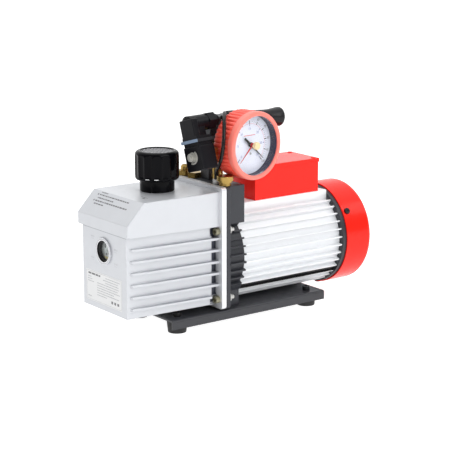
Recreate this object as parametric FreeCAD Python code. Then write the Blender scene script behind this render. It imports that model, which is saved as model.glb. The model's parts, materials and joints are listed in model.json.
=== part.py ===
import FreeCAD, Part
import math
import os

# Rotary vane vacuum pump, two stages in one oil bath, driven by a fan-cooled motor.
# Pump frame (mm): X runs from the front of the oil casing to the fan cover, Y across, Z up from the
# feet. Y = 0 is the pump's mid-plane. save() moves every piece so that the row's origin is on the
# floor, under the middle of the whole pump.
ORIGIN_X, ORIGIN_Y = 197.8, -2.0
V = FreeCAD.Vector

# --- driving dimensions -------------------------------------------------------------------------
AXIS_Z = 86.8                      # height of the shaft

BASE_X0, BASE_X1, BASE_HALF = 65.3, 317.9, 61.6
BASE_TOP, BASE_LOW, BASE_T = 20.3, 8.2, 2.5
FOOT_X, FOOT_Y = (84.0, 299.5), (-44.5, 44.5)
FOOT_R_TOP, FOOT_R_LOW = 14.0, 12.0

BOX_FRONT, CASING_REAR = 2.8, 142.0
BOX_HALF_FRONT, BOX_HALF_REAR = 51.0, 52.5
BOX_LOW_FRONT, BOX_LOW_REAR = 30.9, 28.9
HOOD_HALF, HOOD_TOP, HOOD_CHAMFER_X = 58.2, 178.9, 25.4
HOOD_CHAMFER_Z, LIP_FRONT, LIP_REAR = 152.1, 136.8, 133.1
FLANGE_X1, FLANGE_HALF, FLANGE_LOW, FLANGE_TOP = 149.2, 64.0, 22.8, 184.6
RIB_COUNT, RIB_PITCH, RIB_T = 6, 15.4, 3.2
RIB_TOP_FRONT, RIB_DROP, RIB_REACH = 121.2, 2.8, 57.6
CASING_BOLTS = [(y, z) for y in (-55.5, 55.5) for z in (35.5, 126.5)]
SIGHT_Z, SIGHT_R = 109.7, 17.8
DRAIN_AT = (44.0, 20.0)
CAP_X, CAP_R, CAP_TOP, NECK_R, NECK_TOP = 85.3, 29.0, 231.5, 22.5, 197.5

BRACKET_X0, BRACKET_X1, MOTOR_X0 = 150.0, 156.0, 181.0
MOTOR_X1, BORE_R, BARREL_R, FIN_R = 345.0, 54.0, 60.5, 66.5
FIN_PITCH, FIN_T = 9.6, 1.8
SADDLE_HALF, SADDLE_TOP = 31.0, 152.5
TIE_PLACES = ((57.25, 45.0), (57.25, 135.0), (62.9, 218.4), (62.9, 321.6))   # radius, angle
COVER_X0, COVER_X1, COVER_R, COVER_T = 351.0, 395.6, 70.5, 1.6
SHIELD_X1, SHIELD_R = 364.0, COVER_R - COVER_T - 0.2
COVER_SCREW_ANGLES = (33, 147, 270)

ROTOR_R, PUMP_BORE_R, STATOR_R = 24.0, 28.0, 38.0
BORE_Z = AXIS_Z - (PUMP_BORE_R - ROTOR_R - 0.05)     # the rotor all but touches the bore's top
FIRST_X0, SECOND_X0, STACK_X0 = 112.0, 78.0, 72.0
SHAFT_R, RUNNING = 8.0, 0.05
BEARING_X = (177.0, 325.0)
BALL_R, BALL_PITCH_R, BALLS = 3.35, 14.1, 8

TBOX_X0, TBOX_X1, TBOX_HALF, TBOX_TOP = 221.7, 330.7, 30.2, 198.6
MODULE_X, MODULE_Z = 294.0, 176.0                    # centre of the inlet and switch plate

# The intake valve, its coil and the gauge turn together on the intake nipple. Their local frame
# (u, v, w) has its origin at VALVE_AT and is turned by VALVE_YAW.
VALVE_AT, VALVE_YAW = (160.0, -24.0), 7.5
NIPPLE_U, NIPPLE_V = 6.0, 1.0
TUBE_V, TUBE_W, COIL_LEAN = -16.0, 225.9, 16.0
COIL_U0, COIL_U1, COIL_HALF, COIL_RISE = -54.0, -27.0, 15.0, 18.0
GLAND_SIDE, GLAND_RISE, GLAND_MOUTH = 4.0, 43.0, 1.0  # side and rise are counted along the lean
GASKET_T = 4.0
GAUGE_U, GAUGE_W, GAUGE_R, GAUGE_OPENING = 29.0, 234.6, 44.8, 38.8
GAUGE_V0, GAUGE_V1 = -49.2, -12.2
LEAD_R = 2.4
CAP_PORT, PLUG_PORT, FLARE_PORT = (157.5, -50.0), (157.5, 19.0), (157.5, 40.5)
CAP_RISE, FLARE_R, FLARE_SEAT, FLARE_LENGTH = 4.4, 5.56, 6.5, 5.0
HANDLE_HALF = 9.0


# --- helpers ------------------------------------------------------------------------------------
def box(x0, x1, y0, y1, z0, z1):
    return Part.makeBox(x1 - x0, y1 - y0, z1 - z0, V(x0, y0, z0))


def cyl(axis, start, end, radius, at):
    """A cylinder along x, y or z, from start to end; at gives its other two coordinates."""
    where = {"x": V(start, *at), "y": V(at[0], start, at[1]), "z": V(*at, start)}[axis]
    way = {"x": V(1, 0, 0), "y": V(0, 1, 0), "z": V(0, 0, 1)}[axis]
    return Part.makeCylinder(radius, end - start, where, way)


def on_shaft(start, end, radius, hole=0.0):
    solid = cyl("x", start, end, radius, (0, AXIS_Z))
    return solid.cut(cyl("x", start - 1, end + 1, hole, (0, AXIS_Z))) if hole else solid


def prism(points, way):
    """A straight prism: a closed outline of points, pushed along the vector way."""
    wire = Part.makePolygon([V(*p) for p in points] + [V(*points[0])])
    return Part.Face(wire).extrude(V(*way))


def hexagon(axis, start, end, across_flats, at):
    radius = across_flats / math.sqrt(3)
    ring = [(radius * math.cos(math.radians(60 * k)), radius * math.sin(math.radians(60 * k)))
            for k in range(6)]
    if axis == "x":
        return prism([(start, at[0] + a, at[1] + b) for a, b in ring], (end - start, 0, 0))
    if axis == "y":
        return prism([(at[0] + a, start, at[1] + b) for a, b in ring], (0, end - start, 0))
    return prism([(at[0] + a, at[1] + b, start) for a, b in ring], (0, 0, end - start))


def turned_on_shaft(solid, angle):
    copy = solid.copy()
    copy.rotate(V(0, 0, AXIS_Z), V(1, 0, 0), angle)
    return copy


def fused(solids):
    return solids[0].multiFuse(solids[1:]).removeSplitter() if len(solids) > 1 else solids[0]


def in_valve_frame(solid):
    copy = solid.copy()
    copy.rotate(V(0, 0, 0), V(0, 0, 1), VALVE_YAW)
    copy.translate(V(VALVE_AT[0], VALVE_AT[1], 0))
    return copy


def leaned(solid):
    """The coil and its connector lean about the armature tube's axis, away from the gauge's front."""
    copy = solid.copy()
    copy.rotate(V(0, TUBE_V, TUBE_W), V(1, 0, 0), -COIL_LEAN)
    return copy


def save(node, solids):
    shape = Part.makeCompound(solids) if len(solids) > 1 else solids[0].copy()
    shape.translate(V(-ORIGIN_X, -ORIGIN_Y, 0))
    for solid in shape.Solids:
        if not solid.isValid():
            print("not valid:", node)
    print("%-22s solids %d  volume %.0f" % (node, len(shape.Solids), shape.Volume))
    shape.exportStep("parts/%s.step" % node)


# --- base ---------------------------------------------------------------------------------------
def base_plate():
    outer = box(BASE_X0, BASE_X1, -BASE_HALF, BASE_HALF, BASE_LOW, BASE_TOP)
    top_edges = [e for e in outer.Edges if abs(e.CenterOfMass.z - BASE_TOP) < 0.01
                 and abs(abs(e.CenterOfMass.y) - BASE_HALF) < 0.01]
    outer = outer.makeFillet(3.0, top_edges)
    inner = box(BASE_X0 - 1, BASE_X1 + 1, BASE_T - BASE_HALF, BASE_HALF - BASE_T,
                BASE_LOW - 1, BASE_TOP - BASE_T)
    plate = outer.cut(inner)
    for x, y in base_bolt_places():
        plate = plate.cut(cyl("z", 0, 30, 3.2, (x, y)))
    return [plate]


def foot_places():
    return [(x, y) for x in FOOT_X for y in FOOT_Y]


def base_bolt_places():
    return foot_places() + [(164.0, -40.0), (164.0, 40.0)]


def rubber_feet():
    under = BASE_TOP - BASE_T
    feet = []
    for x, y in foot_places():
        foot = Part.makeCone(FOOT_R_LOW, FOOT_R_TOP, under, V(x, y, 0))
        feet.append(foot.cut(cyl("z", 5, under + 1, 3.0, (x, y))))
    return feet


def base_bolts():
    """Four bolts go down into the feet, and two go up into the bracket's pads."""
    under = BASE_TOP - BASE_T
    bolts = []
    for x, y in foot_places():
        head = cyl("z", BASE_TOP, BASE_TOP + 5.5, 5.0, (x, y)).cut(
            hexagon("z", BASE_TOP + 2.5, BASE_TOP + 6, 5.0, (x, y)))
        bolts.append(head.fuse(cyl("z", 5, BASE_TOP, 3.0, (x, y))))
    for x, y in base_bolt_places()[4:]:
        head = hexagon("z", under - 4.0, under, 10.0, (x, y))
        bolts.append(head.fuse(cyl("z", under, 32, 3.0, (x, y))))
    return bolts


# --- oil casing ---------------------------------------------------------------------------------
def side_rib(index, side):
    """One cooling rib: it grows out of the wall near the front and runs back to the flange."""
    front, drop = RIB_TOP_FRONT - RIB_PITCH * index, RIB_DROP
    plan = [(7, 49), (10, 54.3), (32, 56.6), (CASING_REAR + 1, RIB_REACH), (CASING_REAR + 1, 49)]
    rib = prism([(x, side * y, 0) for x, y in plan], (0, 0, RIB_T + drop))
    slope = drop / CASING_REAR
    band = prism([(0, -70, front), (CASING_REAR + 2, -70, front - slope * CASING_REAR),
                  (CASING_REAR + 2, -70, front - slope * CASING_REAR - RIB_T),
                  (0, -70, front - RIB_T)], (0, 140, 0))
    rib.translate(V(0, 0, front - drop - RIB_T))
    return rib.common(band)


def oil_casing():
    def section(x, half, low, top):
        return Part.makePolygon([V(x, -half, low), V(x, half, low), V(x, half, top),
                                 V(x, -half, top), V(x, -half, low)])

    lower = Part.makeLoft([section(BOX_FRONT, BOX_HALF_FRONT, BOX_LOW_FRONT, LIP_FRONT + 3),
                           section(CASING_REAR, BOX_HALF_REAR, BOX_LOW_REAR, LIP_REAR + 3)], True)
    hood = prism([(0, -HOOD_HALF, LIP_FRONT), (0, -HOOD_HALF, HOOD_CHAMFER_Z),
                  (HOOD_CHAMFER_X, -HOOD_HALF, HOOD_TOP), (CASING_REAR, -HOOD_HALF, HOOD_TOP),
                  (CASING_REAR, -HOOD_HALF, LIP_REAR)], (0, 2 * HOOD_HALF, 0))
    hood = hood.makeFillet(1.2, [e for e in hood.Edges if e.CenterOfMass.x < CASING_REAR - 1
                                 and e.CenterOfMass.z > LIP_FRONT + 0.5])
    plate = box(CASING_REAR, FLANGE_X1, -FLANGE_HALF, FLANGE_HALF, FLANGE_LOW, FLANGE_TOP)
    plate = plate.makeFillet(4.0, [e for e in plate.Edges if abs(e.Length - (FLANGE_X1 - CASING_REAR))
                                   < 0.01])
    for side in (-1, 1):
        y0, y1 = sorted((side * 47.5, side * 60))
        lower = lower.cut(box(133.5, CASING_REAR, y0, y1, 33, 133))
    boss = cyl("z", BOX_LOW_FRONT - 2.4, BOX_LOW_FRONT + 4, 10.0, DRAIN_AT)
    ribs = [side_rib(i, side) for i in range(RIB_COUNT) for side in (-1, 1)]
    casing = fused([lower, hood, plate, boss] + ribs)
    wall = 4.5
    casing = casing.cut(box(BOX_FRONT + wall, 160, -44.5, 44.5, 35.5, 136))
    casing = casing.cut(prism([(wall, -53, 135.9), (wall, -53, HOOD_CHAMFER_Z - 1.5),
                               (HOOD_CHAMFER_X + 1.5, -53, HOOD_TOP - wall),
                               (160, -53, HOOD_TOP - wall), (160, -53, 135.9)], (0, 106, 0)))
    casing = casing.cut(cyl("x", 0, 20, 15.5, (0, SIGHT_Z)))
    casing = casing.cut(cyl("z", 150, 190, 16.0, (CAP_X, 0)))
    casing = casing.cut(cyl("z", 20, 45, 6.0, DRAIN_AT))
    for y, z in CASING_BOLTS:
        casing = casing.cut(cyl("x", CASING_REAR - 1, 160, 3.3, (y, z)))
        casing = casing.cut(cyl("x", CASING_REAR - 11, CASING_REAR, 6.6, (y, z)))
    return [casing]


def casing_gasket():
    ring = box(FLANGE_X1, BRACKET_X0, -62, 62, 25, 182.5)
    ring = ring.cut(box(FLANGE_X1 - 1, BRACKET_X0 + 1, -53, 53, 135, 176))
    ring = ring.cut(box(FLANGE_X1 - 1, BRACKET_X0 + 1, -46, 46, 34, 136))
    for y, z in CASING_BOLTS:
        ring = ring.cut(cyl("x", FLANGE_X1 - 1, BRACKET_X0 + 1, 3.3, (y, z)))
    return [ring]


def casing_bolts():
    """Cap screws from the casing's side, each with a plain nut behind the bracket's plate."""
    pieces = []
    for y, z in CASING_BOLTS:
        screw = cyl("x", CASING_REAR - 6, CASING_REAR, 5.0, (y, z)).cut(
            hexagon("x", CASING_REAR - 7, CASING_REAR - 3, 5.0, (y, z)))
        pieces.append(screw.fuse(cyl("x", CASING_REAR, 166, 3.0, (y, z))))
        pieces.append(hexagon("x", BRACKET_X1, BRACKET_X1 + 5, 9.6, (y, z)).cut(
            cyl("x", BRACKET_X1 - 1, BRACKET_X1 + 6, 3.0, (y, z))))
    return pieces


def sight_bezel():
    ring = cyl("x", 0.9, BOX_FRONT, SIGHT_R, (0, SIGHT_Z)).fuse(
        cyl("x", BOX_FRONT, 11, 15.45, (0, SIGHT_Z)))
    ring = ring.cut(cyl("x", 0, 8, 14.0, (0, SIGHT_Z))).cut(cyl("x", 0, 12, 12.0, (0, SIGHT_Z)))
    return [ring]


def sight_glass():
    return [cyl("x", 4.5, 8.0, 14.0, (0, SIGHT_Z))]


def oil_neck():
    neck = cyl("z", HOOD_TOP, NECK_TOP, NECK_R, (CAP_X, 0)).fuse(
        cyl("z", HOOD_TOP - 8, HOOD_TOP, 15.9, (CAP_X, 0)))
    neck = neck.makeFillet(1.5, [e for e in neck.Edges if abs(e.CenterOfMass.z - HOOD_TOP) < 0.01
                                 and abs(e.Length - 2 * math.pi * NECK_R) < 0.1])
    return [neck.cut(cyl("z", HOOD_TOP - 9, NECK_TOP + 1, 13.0, (CAP_X, 0)))]


def oil_cap():
    """The filling and breather cap: fluted outside, dished and pierced on top, with a plug below."""
    at = (CAP_X, 0)
    cap = cyl("z", NECK_TOP, CAP_TOP, CAP_R, at)
    cap = cap.makeFillet(2.0, [e for e in cap.Edges if e.CenterOfMass.z > CAP_TOP - 0.01
                               and e.Closed])
    flutes = 20
    for k in range(flutes):
        angle = 2 * math.pi * k / flutes
        where = (CAP_X + CAP_R * math.cos(angle), CAP_R * math.sin(angle))
        cap = cap.cut(cyl("z", NECK_TOP + 3.5, CAP_TOP + 1, 1.5, where))
    cap = cap.cut(cyl("z", CAP_TOP - 2.0, CAP_TOP + 1, 21.0, at))
    for radius, count in ((8.0, 8), (15.0, 14)):
        for k in range(count):
            angle = 2 * math.pi * k / count
            where = (CAP_X + radius * math.cos(angle), radius * math.sin(angle))
            cap = cap.cut(cyl("z", CAP_TOP - 5, CAP_TOP, 1.2, where))
    return [cap.fuse(cyl("z", NECK_TOP - 12, NECK_TOP, 13.0 - RUNNING, at))]


def drain_plug():
    top = BOX_LOW_FRONT - 2.4
    return [hexagon("z", top - 7, top, 14, DRAIN_AT).fuse(cyl("z", top, top + 10, 6.0, DRAIN_AT))]


# --- bracket and pump block ---------------------------------------------------------------------
def motor_bracket():
    """One casting: the plate that closes the oil casing, the intake block and the motor's bell."""
    plate = box(BRACKET_X0, BRACKET_X1, -FLANGE_HALF, FLANGE_HALF, FLANGE_LOW, FLANGE_TOP)
    plate = plate.makeFillet(4.0, [e for e in plate.Edges if abs(e.Length - 6.0) < 0.01])
    block = box(BRACKET_X1 - 1, MOTOR_X0, -60, 60, 134.5, FLANGE_TOP)
    bell = on_shaft(BRACKET_X1 - 1, MOTOR_X0, BARREL_R).fuse(
        on_shaft(MOTOR_X0 - 1, MOTOR_X0 + 6, BORE_R))
    ribs = []
    for angle in fin_angles():
        rib = box(BRACKET_X1, MOTOR_X0, 57, 65.5, AXIS_Z - 1.1, AXIS_Z + 1.1)
        rib = turned_on_shaft(rib, angle)
        if rib.BoundBox.ZMax < 133:
            ribs.append(rib)
    pads = [box(BRACKET_X0, MOTOR_X0, *sorted((s * 30, s * 48)), BASE_TOP, 45) for s in (-1, 1)]
    lugs = [turned_on_shaft(box(164, MOTOR_X0, 55, 66.5, AXIS_Z - 5, AXIS_Z + 5), angle)
            for radius, angle in TIE_PLACES if radius > BARREL_R]
    bracket = fused([plate, block, bell] + ribs + pads + lugs)
    bracket = bracket.cut(on_shaft(MOTOR_X0 - 12, MOTOR_X0 + 7, 47.0).cut(
        on_shaft(MOTOR_X0 - 13, MOTOR_X0 + 8, 25.0)))
    bracket = bracket.fuse(on_shaft(MOTOR_X0 - 13, BEARING_X[0] + 12, 25.0))
    bracket = bracket.cut(on_shaft(140, 200, SHAFT_R + RUNNING))
    bracket = bracket.cut(on_shaft(160, 167, 13.0))
    bracket = bracket.cut(on_shaft(167, 200, 11.0))
    bracket = bracket.cut(on_shaft(BEARING_X[0], 200, 20.0))
    for y, z in CASING_BOLTS:
        bracket = bracket.cut(cyl("x", 140, 158, 3.3, (y, z)))
        bracket = bracket.cut(cyl("x", BRACKET_X1, 168, 6.6, (y, z)))
    for x, y in base_bolt_places()[4:]:
        bracket = bracket.cut(cyl("z", 10, 32, 3.0, (x, y)))
    for radius, angle in TIE_PLACES:
        bracket = bracket.cut(turned_on_shaft(cyl("x", 166, 200, 2.2, (radius, AXIS_Z)), angle))
    for y, z in block_screw_places():
        bracket = bracket.cut(cyl("x", 140, 160, 2.5, (y, z)))
    gallery_z = 150.0
    for port in (valve_point(NIPPLE_U, NIPPLE_V), CAP_PORT, PLUG_PORT, FLARE_PORT):
        bracket = bracket.cut(cyl("z", gallery_z, 190, 2.5, port))
    bracket = bracket.cut(cyl("y", CAP_PORT[1], FLARE_PORT[1], 3.0, (CAP_PORT[0], gallery_z)))
    bracket = bracket.cut(cyl("z", 100, gallery_z, 2.5, (CAP_PORT[0], 0)))
    x, y = bushing_at()
    bracket = bracket.cut(cyl("z", 177, 190, 3.0, (x, y)))
    return [bracket]


def shaft_seal():
    return [on_shaft(160, 166.5, 13.0, SHAFT_R + RUNNING)]


def block_screw_places():
    radius = 33.0
    return [(radius * math.cos(math.radians(a)), BORE_Z + radius * math.sin(math.radians(a)))
            for a in (30, 150, 210, 330)]


def stage(x0, x1, blind):
    """A stage's cylinder: its bore is lower than the shaft, and its top is cut flat for a valve."""
    body = cyl("x", x0, x1, STATOR_R, (0, BORE_Z))
    body = body.cut(box(x0 - 1, x1 + 1, -14, 14, BORE_Z + 34, BORE_Z + 50))
    body = body.cut(cyl("x", x0 + blind, x1 + (0 if blind else 1), PUMP_BORE_R, (0, BORE_Z)))
    if not blind:
        body = body.cut(cyl("x", x0 - 1, x0 + 1, PUMP_BORE_R, (0, BORE_Z)))
    for y, z in block_screw_places():
        body = body.cut(cyl("x", x0 - 1, x1 + 1, 2.6, (y, z)))
    for side in (-1, 1):
        port = cyl("z", BORE_Z + 20, BORE_Z + 36, 2.0, ((x0 + x1) / 2 + 5 * side, 6))
        body = body.cut(port)
    return body


def first_stage():
    return [stage(FIRST_X0, BRACKET_X0, 0)]


def second_stage():
    body = stage(SECOND_X0, FIRST_X0 - 6, 6)
    return [body.cut(on_shaft(SECOND_X0 + 1, FIRST_X0, SHAFT_R + RUNNING))]


def centre_plate():
    plate = cyl("x", FIRST_X0 - 6, FIRST_X0, STATOR_R, (0, BORE_Z))
    plate = plate.cut(on_shaft(100, 120, SHAFT_R + RUNNING))
    for y, z in block_screw_places():
        plate = plate.cut(cyl("x", 100, 120, 2.6, (y, z)))
    return [plate.cut(box(100, 120, -20, 20, BORE_Z + 34, BORE_Z + 50))]


def exhaust_valves():
    """For each stage a spring-steel reed over the ports, with a stop plate on it."""
    flat = BORE_Z + 34
    valves = []
    for x in ((FIRST_X0 + BRACKET_X0) / 2, (SECOND_X0 + FIRST_X0 - 6) / 2):
        valves.append(box(x - 9, x + 9, -11, 11, flat, flat + 0.4))
        valves.append(box(x - 9, x + 9, -11, 11, flat + 0.4, flat + 2.4))
    return valves


def long_screws():
    """Four cap screws hold the pump block, and four rods tie the motor to the bracket."""
    screws = []
    for y, z in block_screw_places():
        head = cyl("x", SECOND_X0 - 5, SECOND_X0, 4.2, (y, z)).cut(
            hexagon("x", SECOND_X0 - 6, SECOND_X0 - 2.5, 4.0, (y, z)))
        screws.append(head.fuse(cyl("x", SECOND_X0, 160, 2.5, (y, z))))
    for radius, angle in TIE_PLACES:
        rod = cyl("x", 166, 350, 2.2, (radius, AXIS_Z))
        screws.append(turned_on_shaft(rod, angle))
    return screws


def vane_slot(x0, x1, side, half, low):
    y0, y1 = sorted((side * low, side * (ROTOR_R + 1)))
    return box(x0, x1, y0, y1, AXIS_Z - half, AXIS_Z + half)


def tongue(x0, x1, half):
    return box(x0, x1, -half, half, AXIS_Z - 3, AXIS_Z + 3)


def first_rotor():
    rotor = on_shaft(FIRST_X0 + RUNNING, BRACKET_X0 - RUNNING, ROTOR_R)
    for side in (-1, 1):
        rotor = rotor.cut(vane_slot(FIRST_X0 - 1, BRACKET_X0 + 1, side, 2.0, 9.5))
    return [fused([rotor, on_shaft(FIRST_X0 - 6, FIRST_X0 + 1, SHAFT_R),
                   on_shaft(BRACKET_X0 - 1, 172, SHAFT_R),
                   tongue(FIRST_X0 - 12, FIRST_X0 - 5, 6.5), tongue(171, 178, 6.5)])]


def second_rotor():
    rotor = on_shaft(SECOND_X0 + 6 + RUNNING, FIRST_X0 - 6 - RUNNING, ROTOR_R)
    for side in (-1, 1):
        rotor = rotor.cut(vane_slot(SECOND_X0, FIRST_X0, side, 2.0, 9.5))
    rotor = rotor.fuse(on_shaft(SECOND_X0 + 1.5, SECOND_X0 + 8, SHAFT_R))
    return [rotor.cut(tongue(FIRST_X0 - 12, FIRST_X0, 6.5))]


def vanes():
    """Two vanes to a rotor, shown pushed into their slots so that they clear the bore all round."""
    blades = []
    for x0, x1 in ((FIRST_X0, BRACKET_X0), (SECOND_X0 + 6, FIRST_X0 - 6)):
        for side in (-1, 1):
            y0, y1 = sorted((side * 12.5, side * (ROTOR_R - 0.1)))
            blades.append(box(x0 + 0.1, x1 - 0.1, y0, y1, AXIS_Z - 1.98, AXIS_Z + 1.98))
    return blades


def vane_springs():
    springs = []
    for x0, x1 in ((FIRST_X0, BRACKET_X0), (SECOND_X0 + 6, FIRST_X0 - 6)):
        for side in (-1, 1):
            y0, y1 = sorted((side * 9.5, side * 12.5))
            for x in (x0 + (x1 - x0) / 4, x1 - (x1 - x0) / 4):
                springs.append(cyl("y", y0, y1, 1.7, (x, AXIS_Z)).cut(
                    cyl("y", y0 - 1, y1 + 1, 1.1, (x, AXIS_Z))))
    return springs


# --- motor --------------------------------------------------------------------------------------
def fin_angles():
    """Fins are counted up and down from the level on each side; the seat takes the top ones."""
    steps = [sign * FIN_PITCH * (k + 0.5) for k in range(9) for sign in (-1, 1)]
    angles = [middle + step for middle in (0, 180) for step in steps] + [270]
    return [a for a in angles if abs(FIN_R * math.cos(math.radians(a))) > SADDLE_HALF + 4
            or math.sin(math.radians(a)) < 0]


def motor_housing():
    """A finned extrusion with a flat seat for the terminal box and a channel low on each side."""
    barrel = on_shaft(MOTOR_X0, MOTOR_X1, BARREL_R)
    seat = box(MOTOR_X0, MOTOR_X1, -SADDLE_HALF, SADDLE_HALF, AXIS_Z, SADDLE_TOP)
    fins = []
    for angle in fin_angles():
        fin = box(MOTOR_X0, MOTOR_X1, BARREL_R - 2, FIN_R, AXIS_Z - FIN_T / 2, AXIS_Z + FIN_T / 2)
        fins.append(turned_on_shaft(fin, angle))
    housing = fused([barrel, seat] + fins)
    housing = housing.cut(on_shaft(MOTOR_X0 - 1, MOTOR_X1 + 1, BORE_R))
    for radius, angle in TIE_PLACES[:2]:
        hole = cyl("x", MOTOR_X0 - 1, MOTOR_X1 + 1, 2.4, (radius, AXIS_Z))
        housing = housing.cut(turned_on_shaft(hole, angle))
    return [housing.cut(cyl("z", 120, 160, 8.0, (262, 0)))]


def stator_core():
    core = on_shaft(205, 295, BORE_R, 33.4)
    slots = 24
    for k in range(slots):
        slot = box(204, 296, 32, 44, AXIS_Z - 2, AXIS_Z + 2)
        core = core.cut(turned_on_shaft(slot, 360 * k / slots))
    return [core]


def stator_windings():
    rings = []
    for x0, x1 in ((191, 205), (295, 309)):
        ring = on_shaft(x0, x1, 50.0, 35.5)
        rims = [e for e in ring.Edges if e.Closed]
        rings.append(ring.makeFillet(4.0, rims))
    return rings


def motor_shaft():
    shaft = fused([on_shaft(172, 195, 8.5), on_shaft(195, 305, 10.0), on_shaft(305, 345, 8.5),
                   on_shaft(345, 380, 7.0)])
    return [shaft.cut(tongue(171, 178, 10.0))]


def rotor_core():
    return [fused([on_shaft(205, 295, 33.0, 10.0), on_shaft(199, 206, 30.0, 10.0),
                   on_shaft(294, 301, 30.0, 10.0)])]


def ball_groove(x):
    return Part.makeTorus(BALL_PITCH_R, BALL_R + 0.06, V(x + 6, 0, AXIS_Z), V(1, 0, 0))


def bearing_outer_rings():
    return [on_shaft(x, x + 12, 20.0, 16.0).cut(ball_groove(x)) for x in BEARING_X]


def bearing_inner_rings():
    return [on_shaft(x, x + 12, 12.2, 8.5).cut(ball_groove(x)) for x in BEARING_X]


def bearing_balls():
    balls = []
    for x in BEARING_X:
        for k in range(BALLS):
            angle = 2 * math.pi * k / BALLS
            centre = V(x + 6, BALL_PITCH_R * math.cos(angle),
                       AXIS_Z + BALL_PITCH_R * math.sin(angle))
            balls.append(Part.makeSphere(BALL_R, centre))
    return balls


def rear_shield():
    """The end shield carries the rear bearing, and its rim holds the fan cover."""
    shield = fused([on_shaft(MOTOR_X1, 351, SHIELD_R), on_shaft(339, MOTOR_X1 + 1, BORE_R, 48.0),
                    on_shaft(350, SHIELD_X1, SHIELD_R, SHIELD_R - 4.2),
                    on_shaft(BEARING_X[1] - 1, 350, 25.0)])
    shield = shield.cut(on_shaft(320, BEARING_X[1] + 12, 20.0)).cut(on_shaft(320, 360, 9.0))
    for radius, angle in TIE_PLACES:
        hole = cyl("x", MOTOR_X1 - 8, 350, 2.2, (radius, AXIS_Z))
        shield = shield.cut(turned_on_shaft(hole, angle))
    for angle in COVER_SCREW_ANGLES:
        hole = Part.makeCylinder(2.0, 20, V(358, 55, AXIS_Z), V(0, 1, 0))
        shield = shield.cut(turned_on_shaft(hole, angle))
    return [shield]


def cooling_fan():
    hub = on_shaft(358, 378, 14.0, 7.0)
    back = on_shaft(358, 360.5, 34.0, 10.0)
    blades = []
    for k in range(8):
        blade = box(359, 379, 12, 58, AXIS_Z - 1.1, AXIS_Z + 1.1)
        blades.append(turned_on_shaft(blade, 45 * k))
    return [fused([hub, back] + blades).cut(on_shaft(355, 385, 7.0))]


def fan_cover():
    """A pressed cap with a rounded back, and radial air slots that run out over the rounding."""
    rounding = 7.0
    outer = on_shaft(COVER_X0, COVER_X1, COVER_R)
    outer = outer.makeFillet(rounding, [e for e in outer.Edges if e.Closed
                                        and e.CenterOfMass.x > COVER_X1 - 0.01])
    inner = on_shaft(COVER_X0 - 1, COVER_X1 - COVER_T, COVER_R - COVER_T)
    inner = inner.makeFillet(rounding - COVER_T, [e for e in inner.Edges if e.Closed
                                                  and e.CenterOfMass.x > COVER_X1 - COVER_T - 0.01])
    cover = outer.cut(inner)
    for k in range(18):
        slot = box(COVER_X1 - 5, COVER_X1 + 1, 26, COVER_R - 1.4, AXIS_Z - 1.8, AXIS_Z + 1.8)
        cover = cover.cut(turned_on_shaft(slot, 20 * k + 5))
    for angle in COVER_SCREW_ANGLES:
        hole = Part.makeCylinder(2.2, 20, V(358, 60, AXIS_Z), V(0, 1, 0))
        cover = cover.cut(turned_on_shaft(hole, angle))
    return [cover]


def cover_screws():
    """Three pan-head screws round the fan cover, and four low ones in the terminal box's lid."""
    screws = []
    for angle in COVER_SCREW_ANGLES:
        screw = Part.makeCylinder(4.2, 2.4, V(358, COVER_R, AXIS_Z), V(0, 1, 0)).fuse(
            Part.makeCylinder(2.0, 8, V(358, COVER_R - 7.5, AXIS_Z), V(0, 1, 0)))
        slot = box(354, 362, COVER_R + 1.2, COVER_R + 3, AXIS_Z - 0.5, AXIS_Z + 0.5)
        screws.append(turned_on_shaft(screw.cut(slot), angle))
    for x, y in lid_screw_places():
        screws.append(cyl("z", TBOX_TOP, TBOX_TOP + 0.8, 3.0, (x, y)).fuse(
            cyl("z", TBOX_TOP - 9, TBOX_TOP, 2.0, (x, y))))
    return screws


# --- terminal box -------------------------------------------------------------------------------
def lid_screw_places():
    return [(x, y) for x in (TBOX_X0 + 5, TBOX_X1 - 5) for y in (-TBOX_HALF + 5, TBOX_HALF - 5)]


def terminal_box():
    wall, top = 1.5, TBOX_TOP - 1.4
    shell = box(TBOX_X0, TBOX_X1, -TBOX_HALF, TBOX_HALF, SADDLE_TOP, top)
    shell = shell.cut(box(TBOX_X0 + wall, TBOX_X1 - wall, wall - TBOX_HALF, TBOX_HALF - wall,
                          SADDLE_TOP + wall, top + 1))
    posts = [box(x - 4, x + 4, y - 4, y + 4, SADDLE_TOP + 1, top) for x, y in lid_screw_places()]
    shell = fused([shell] + posts)
    for x, y in lid_screw_places():
        shell = shell.cut(cyl("z", TBOX_TOP - 10, TBOX_TOP, 2.0, (x, y)))
    shell = shell.cut(cyl("z", 150, 156, 8.0, (262, 0)))
    half_w, half_h = 22.0, 12.4
    return [shell.cut(box(MODULE_X - half_w, MODULE_X + half_w, 25, 35,
                          MODULE_Z - half_h, MODULE_Z + half_h))]


def terminal_lid():
    skirt, out = TBOX_TOP - 5.2, 1.2
    lid = box(TBOX_X0 - out, TBOX_X1 + out, -TBOX_HALF - out, TBOX_HALF + out, skirt, TBOX_TOP)
    lid = lid.makeFillet(1.0, [e for e in lid.Edges if e.CenterOfMass.z > skirt + 0.5])
    lid = lid.cut(box(TBOX_X0 - 0.1, TBOX_X1 + 0.1, -TBOX_HALF - 0.1, TBOX_HALF + 0.1,
                      skirt - 1, TBOX_TOP - 1.4))
    for x, y in lid_screw_places():
        lid = lid.cut(cyl("z", TBOX_TOP - 10, TBOX_TOP + 1, 2.0, (x, y)))
    return [lid]


def run_capacitor():
    can = cyl("x", 231.5, 270, 17.0, (-7, 173))
    can = can.makeFillet(1.5, [e for e in can.Edges if e.Closed])
    blades = [box(270, 278, y - 0.4, y + 0.4, 170, 176) for y in (-12, -2)]
    return [fused([can] + blades)]


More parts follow.
